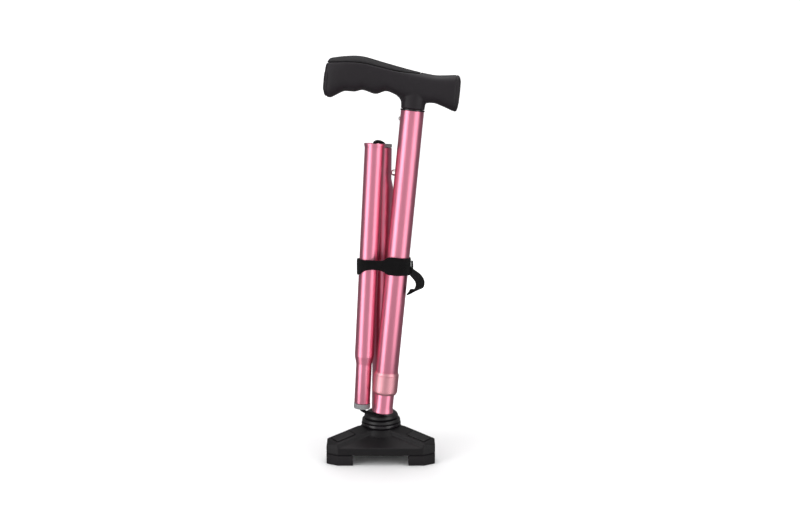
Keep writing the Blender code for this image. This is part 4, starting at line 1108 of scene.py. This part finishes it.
class CANE_OT_cords(Operator):
    """Build the two loops of elastic cord that show at the folds"""

    bl_idname = "cane.cords"
    bl_label = "Cords"

    def execute(self, context):
        low, mid, grip = (m.to_3x3() @ UP for m in (LOWER_AT, MIDDLE_AT, HANDLE_AT))
        mouth = MIDDLE_AT.translation
        tip = LOWER_AT @ Vector((0, 0, LOWER_END + LOWER_RING))
        line = loop_line(mouth, mid, 39 * MM, tip - low * 1.5 * MM, low, 2.4 * MM)
        top = tube_along("top_cord_run", line, CORD_RADIUS)
        dress(top, "braided_cord", None, "top_cord_loop")
        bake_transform(top)
        tail = MIDDLE_AT @ Vector((0, 0, -MIDDLE_LENGTH - MIDDLE_RING_SEAT))
        mouth = HANDLE_AT.translation
        line = loop_line(mouth, -grip, 51 * MM, tail + mid * 1.5 * MM, -mid, 4.2 * MM)
        bottom = tube_along("bottom_cord_run", line, CORD_RADIUS)
        dress(bottom, "braided_cord", None, "bottom_cord_loop")
        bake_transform(bottom)
        return {"FINISHED"}


class CANE_OT_inside(Operator):
    """Give the parts inside the tubes and the neck their finishes"""

    bl_idname = "cane.inside"
    bl_label = "Inner parts"

    def execute(self, context):
        for name, nodes in (
            ("base_plastic", ("socket_cup", "handle_plug")),
            ("plated_steel", ("gimbal_ring", "neck_stem", "cord_washer", "snap_spring")),
            ("braided_cord", ("lower_cord", "middle_cord", "inner_cord", "cord_knot")),
            ("grey_moulding", ("inner_glide", "clamp_sleeve")),
        ):
            for node in nodes:
                mesh = frame["nodes"][node].data
                mesh.materials.clear()
                mesh.materials.append(finish(name))
        return {"FINISHED"}


class CANE_OT_stage(Operator):
    """Set up the pale floor, white backdrop, softboxes and camera"""

    bl_idname = "cane.stage"
    bl_label = "Studio"

    def execute(self, context):
        studio = context.scene.cane_studio
        scene = context.scene
        scene.view_settings.view_transform = "Standard"
        floor_finish = Finish("studio_floor", studio.floor, 0.7, 0.0, Specular_IOR_Level=0.2)
        floor_finish.shader.inputs["Emission Color"].default_value = (1, 1, 1, 1)
        # The floor glows, fading from full 55 cm out to none within 5 cm of the centre where the cane stands:
        # painted shade round the base.
        centre = floor_finish.node("ShaderNodeVectorMath", Vector=floor_finish.place)
        centre.operation = "LENGTH"
        glow = floor_finish.spread(centre.outputs["Value"], 0.0, studio.floor_glow, 0.05, 0.55)
        floor_finish.link(glow, "Emission Strength")
        size, reach, curve = 6.0, 2.2, 1.2
        sweep = [(-size, 0.0), (reach, 0.0)]
        for k in range(1, 17):
            angle = math.pi / 2 * k / 16
            sweep.append((reach + curve * math.sin(angle), curve * (1 - math.cos(angle))))
        sweep.append((reach + curve, 3.5))
        outline = sweep + [(y + 0.02, z - 0.02) for y, z in sweep[::-1]]
        floor = prism("floor", outline, -size, size)
        floor.data.transform(Matrix(((0, 0, 1, 0), (1, 0, 0, 0), (0, 1, 0, 0), (0, 0, 0, 1))))
        floor.data.materials.append(floor_finish.material)
        sheen_smooth(floor).visible_glossy = False
        world = bpy.data.worlds.new("studio")
        scene.world = world
        world.use_nodes = True
        nodes = Nodes(world.node_tree)
        back = nodes.tree.nodes["Background"]
        back.inputs["Color"].default_value = (1, 1, 1, 1)
        # The room is brighter on the front side.
        toward = nodes.node("ShaderNodeTexCoord").outputs["Generated"]
        depth = nodes.node("ShaderNodeSeparateXYZ", Vector=toward).outputs["Y"]
        room = nodes.spread(depth, 3.3 * studio.surround, studio.surround, -1.0, -0.3)
        nodes.feed(back.inputs["Strength"], room)
        target = Vector((0, 0, 0.2))
        # Lights: name, azimuth, distance, height, width, length, power. The last hangs over the cane.
        for name, azimuth, distance, height, width, tall, power_w in (
            ("softbox_left", -54, 1.25, 0.3, 0.8, 2.0, studio.key_power),
            ("softbox_right", 52, 1.25, 0.3, 0.9, 2.0, studio.fill_power),
            ("top_panel", None, 0.1, 1.9, 1.8, 1.8, studio.top_power),
        ):
            lamp = bpy.data.lights.new(name, "AREA")
            lamp.shape, lamp.size, lamp.size_y, lamp.energy = "RECTANGLE", width, tall, power_w
            light = bpy.data.objects.new(name, lamp)
            scene.collection.objects.link(light)
            if azimuth is None:
                light.location = (0, distance, height)
                continue
            angle = math.radians(azimuth)
            light.location = Vector((math.sin(angle) * distance, -math.cos(angle) * distance, height))
            light.rotation_euler = (light.location - target).to_track_quat("Z", "Y").to_euler()
        camera = bpy.data.cameras.new("camera")
        camera.lens, camera.sensor_width = studio.lens, 36
        eye = bpy.data.objects.new("camera", camera)
        scene.collection.objects.link(eye)
        eye.location = FOOT + Vector((19.0, -1049.0, 346.6)) * MM
        eye.rotation_euler = (math.radians(82.23), 0, 0)
        scene.camera = eye
        return {"FINISHED"}


STEPS = [CANE_OT_stage, CANE_OT_tubes, CANE_OT_end_rings, CANE_OT_collar, CANE_OT_button, CANE_OT_grip]
STEPS += [CANE_OT_base, CANE_OT_neck, CANE_OT_strap, CANE_OT_cords, CANE_OT_inside]


class CANE_PT_panel(Panel):
    """Sizes, colours and steps of the cane"""

    bl_idname = "CANE_PT_panel"
    bl_label = "Folding cane"
    bl_space_type = "VIEW_3D"
    bl_region_type = "UI"
    bl_category = "Cane"

    def draw(self, context):
        for group in (context.scene.cane_sizes, context.scene.cane_colours, context.scene.cane_studio):
            box = self.layout.box()
            for name in group.__annotations__:
                box.prop(group, name)
        for step in STEPS:
            self.layout.operator(step.bl_idname)


GROUPS = {"cane_sizes": CaneSizes, "cane_colours": CaneColours, "cane_studio": CaneStudio}


def register():
    for name, group in GROUPS.items():
        bpy.utils.register_class(group)
        setattr(bpy.types.Scene, name, PointerProperty(type=group))
    for made in (*STEPS, CANE_PT_panel):
        bpy.utils.register_class(made)


def unregister():
    for made in (CANE_PT_panel, *reversed(STEPS)):
        bpy.utils.unregister_class(made)
    for name, group in GROUPS.items():
        delattr(bpy.types.Scene, name)
        bpy.utils.unregister_class(group)


def main():
    register()
    for step in STEPS:
        group, name = step.bl_idname.split(".")
        getattr(getattr(bpy.ops, group), name)()
    bpy.context.view_layer.update()


if __name__ == "__main__":
    main()
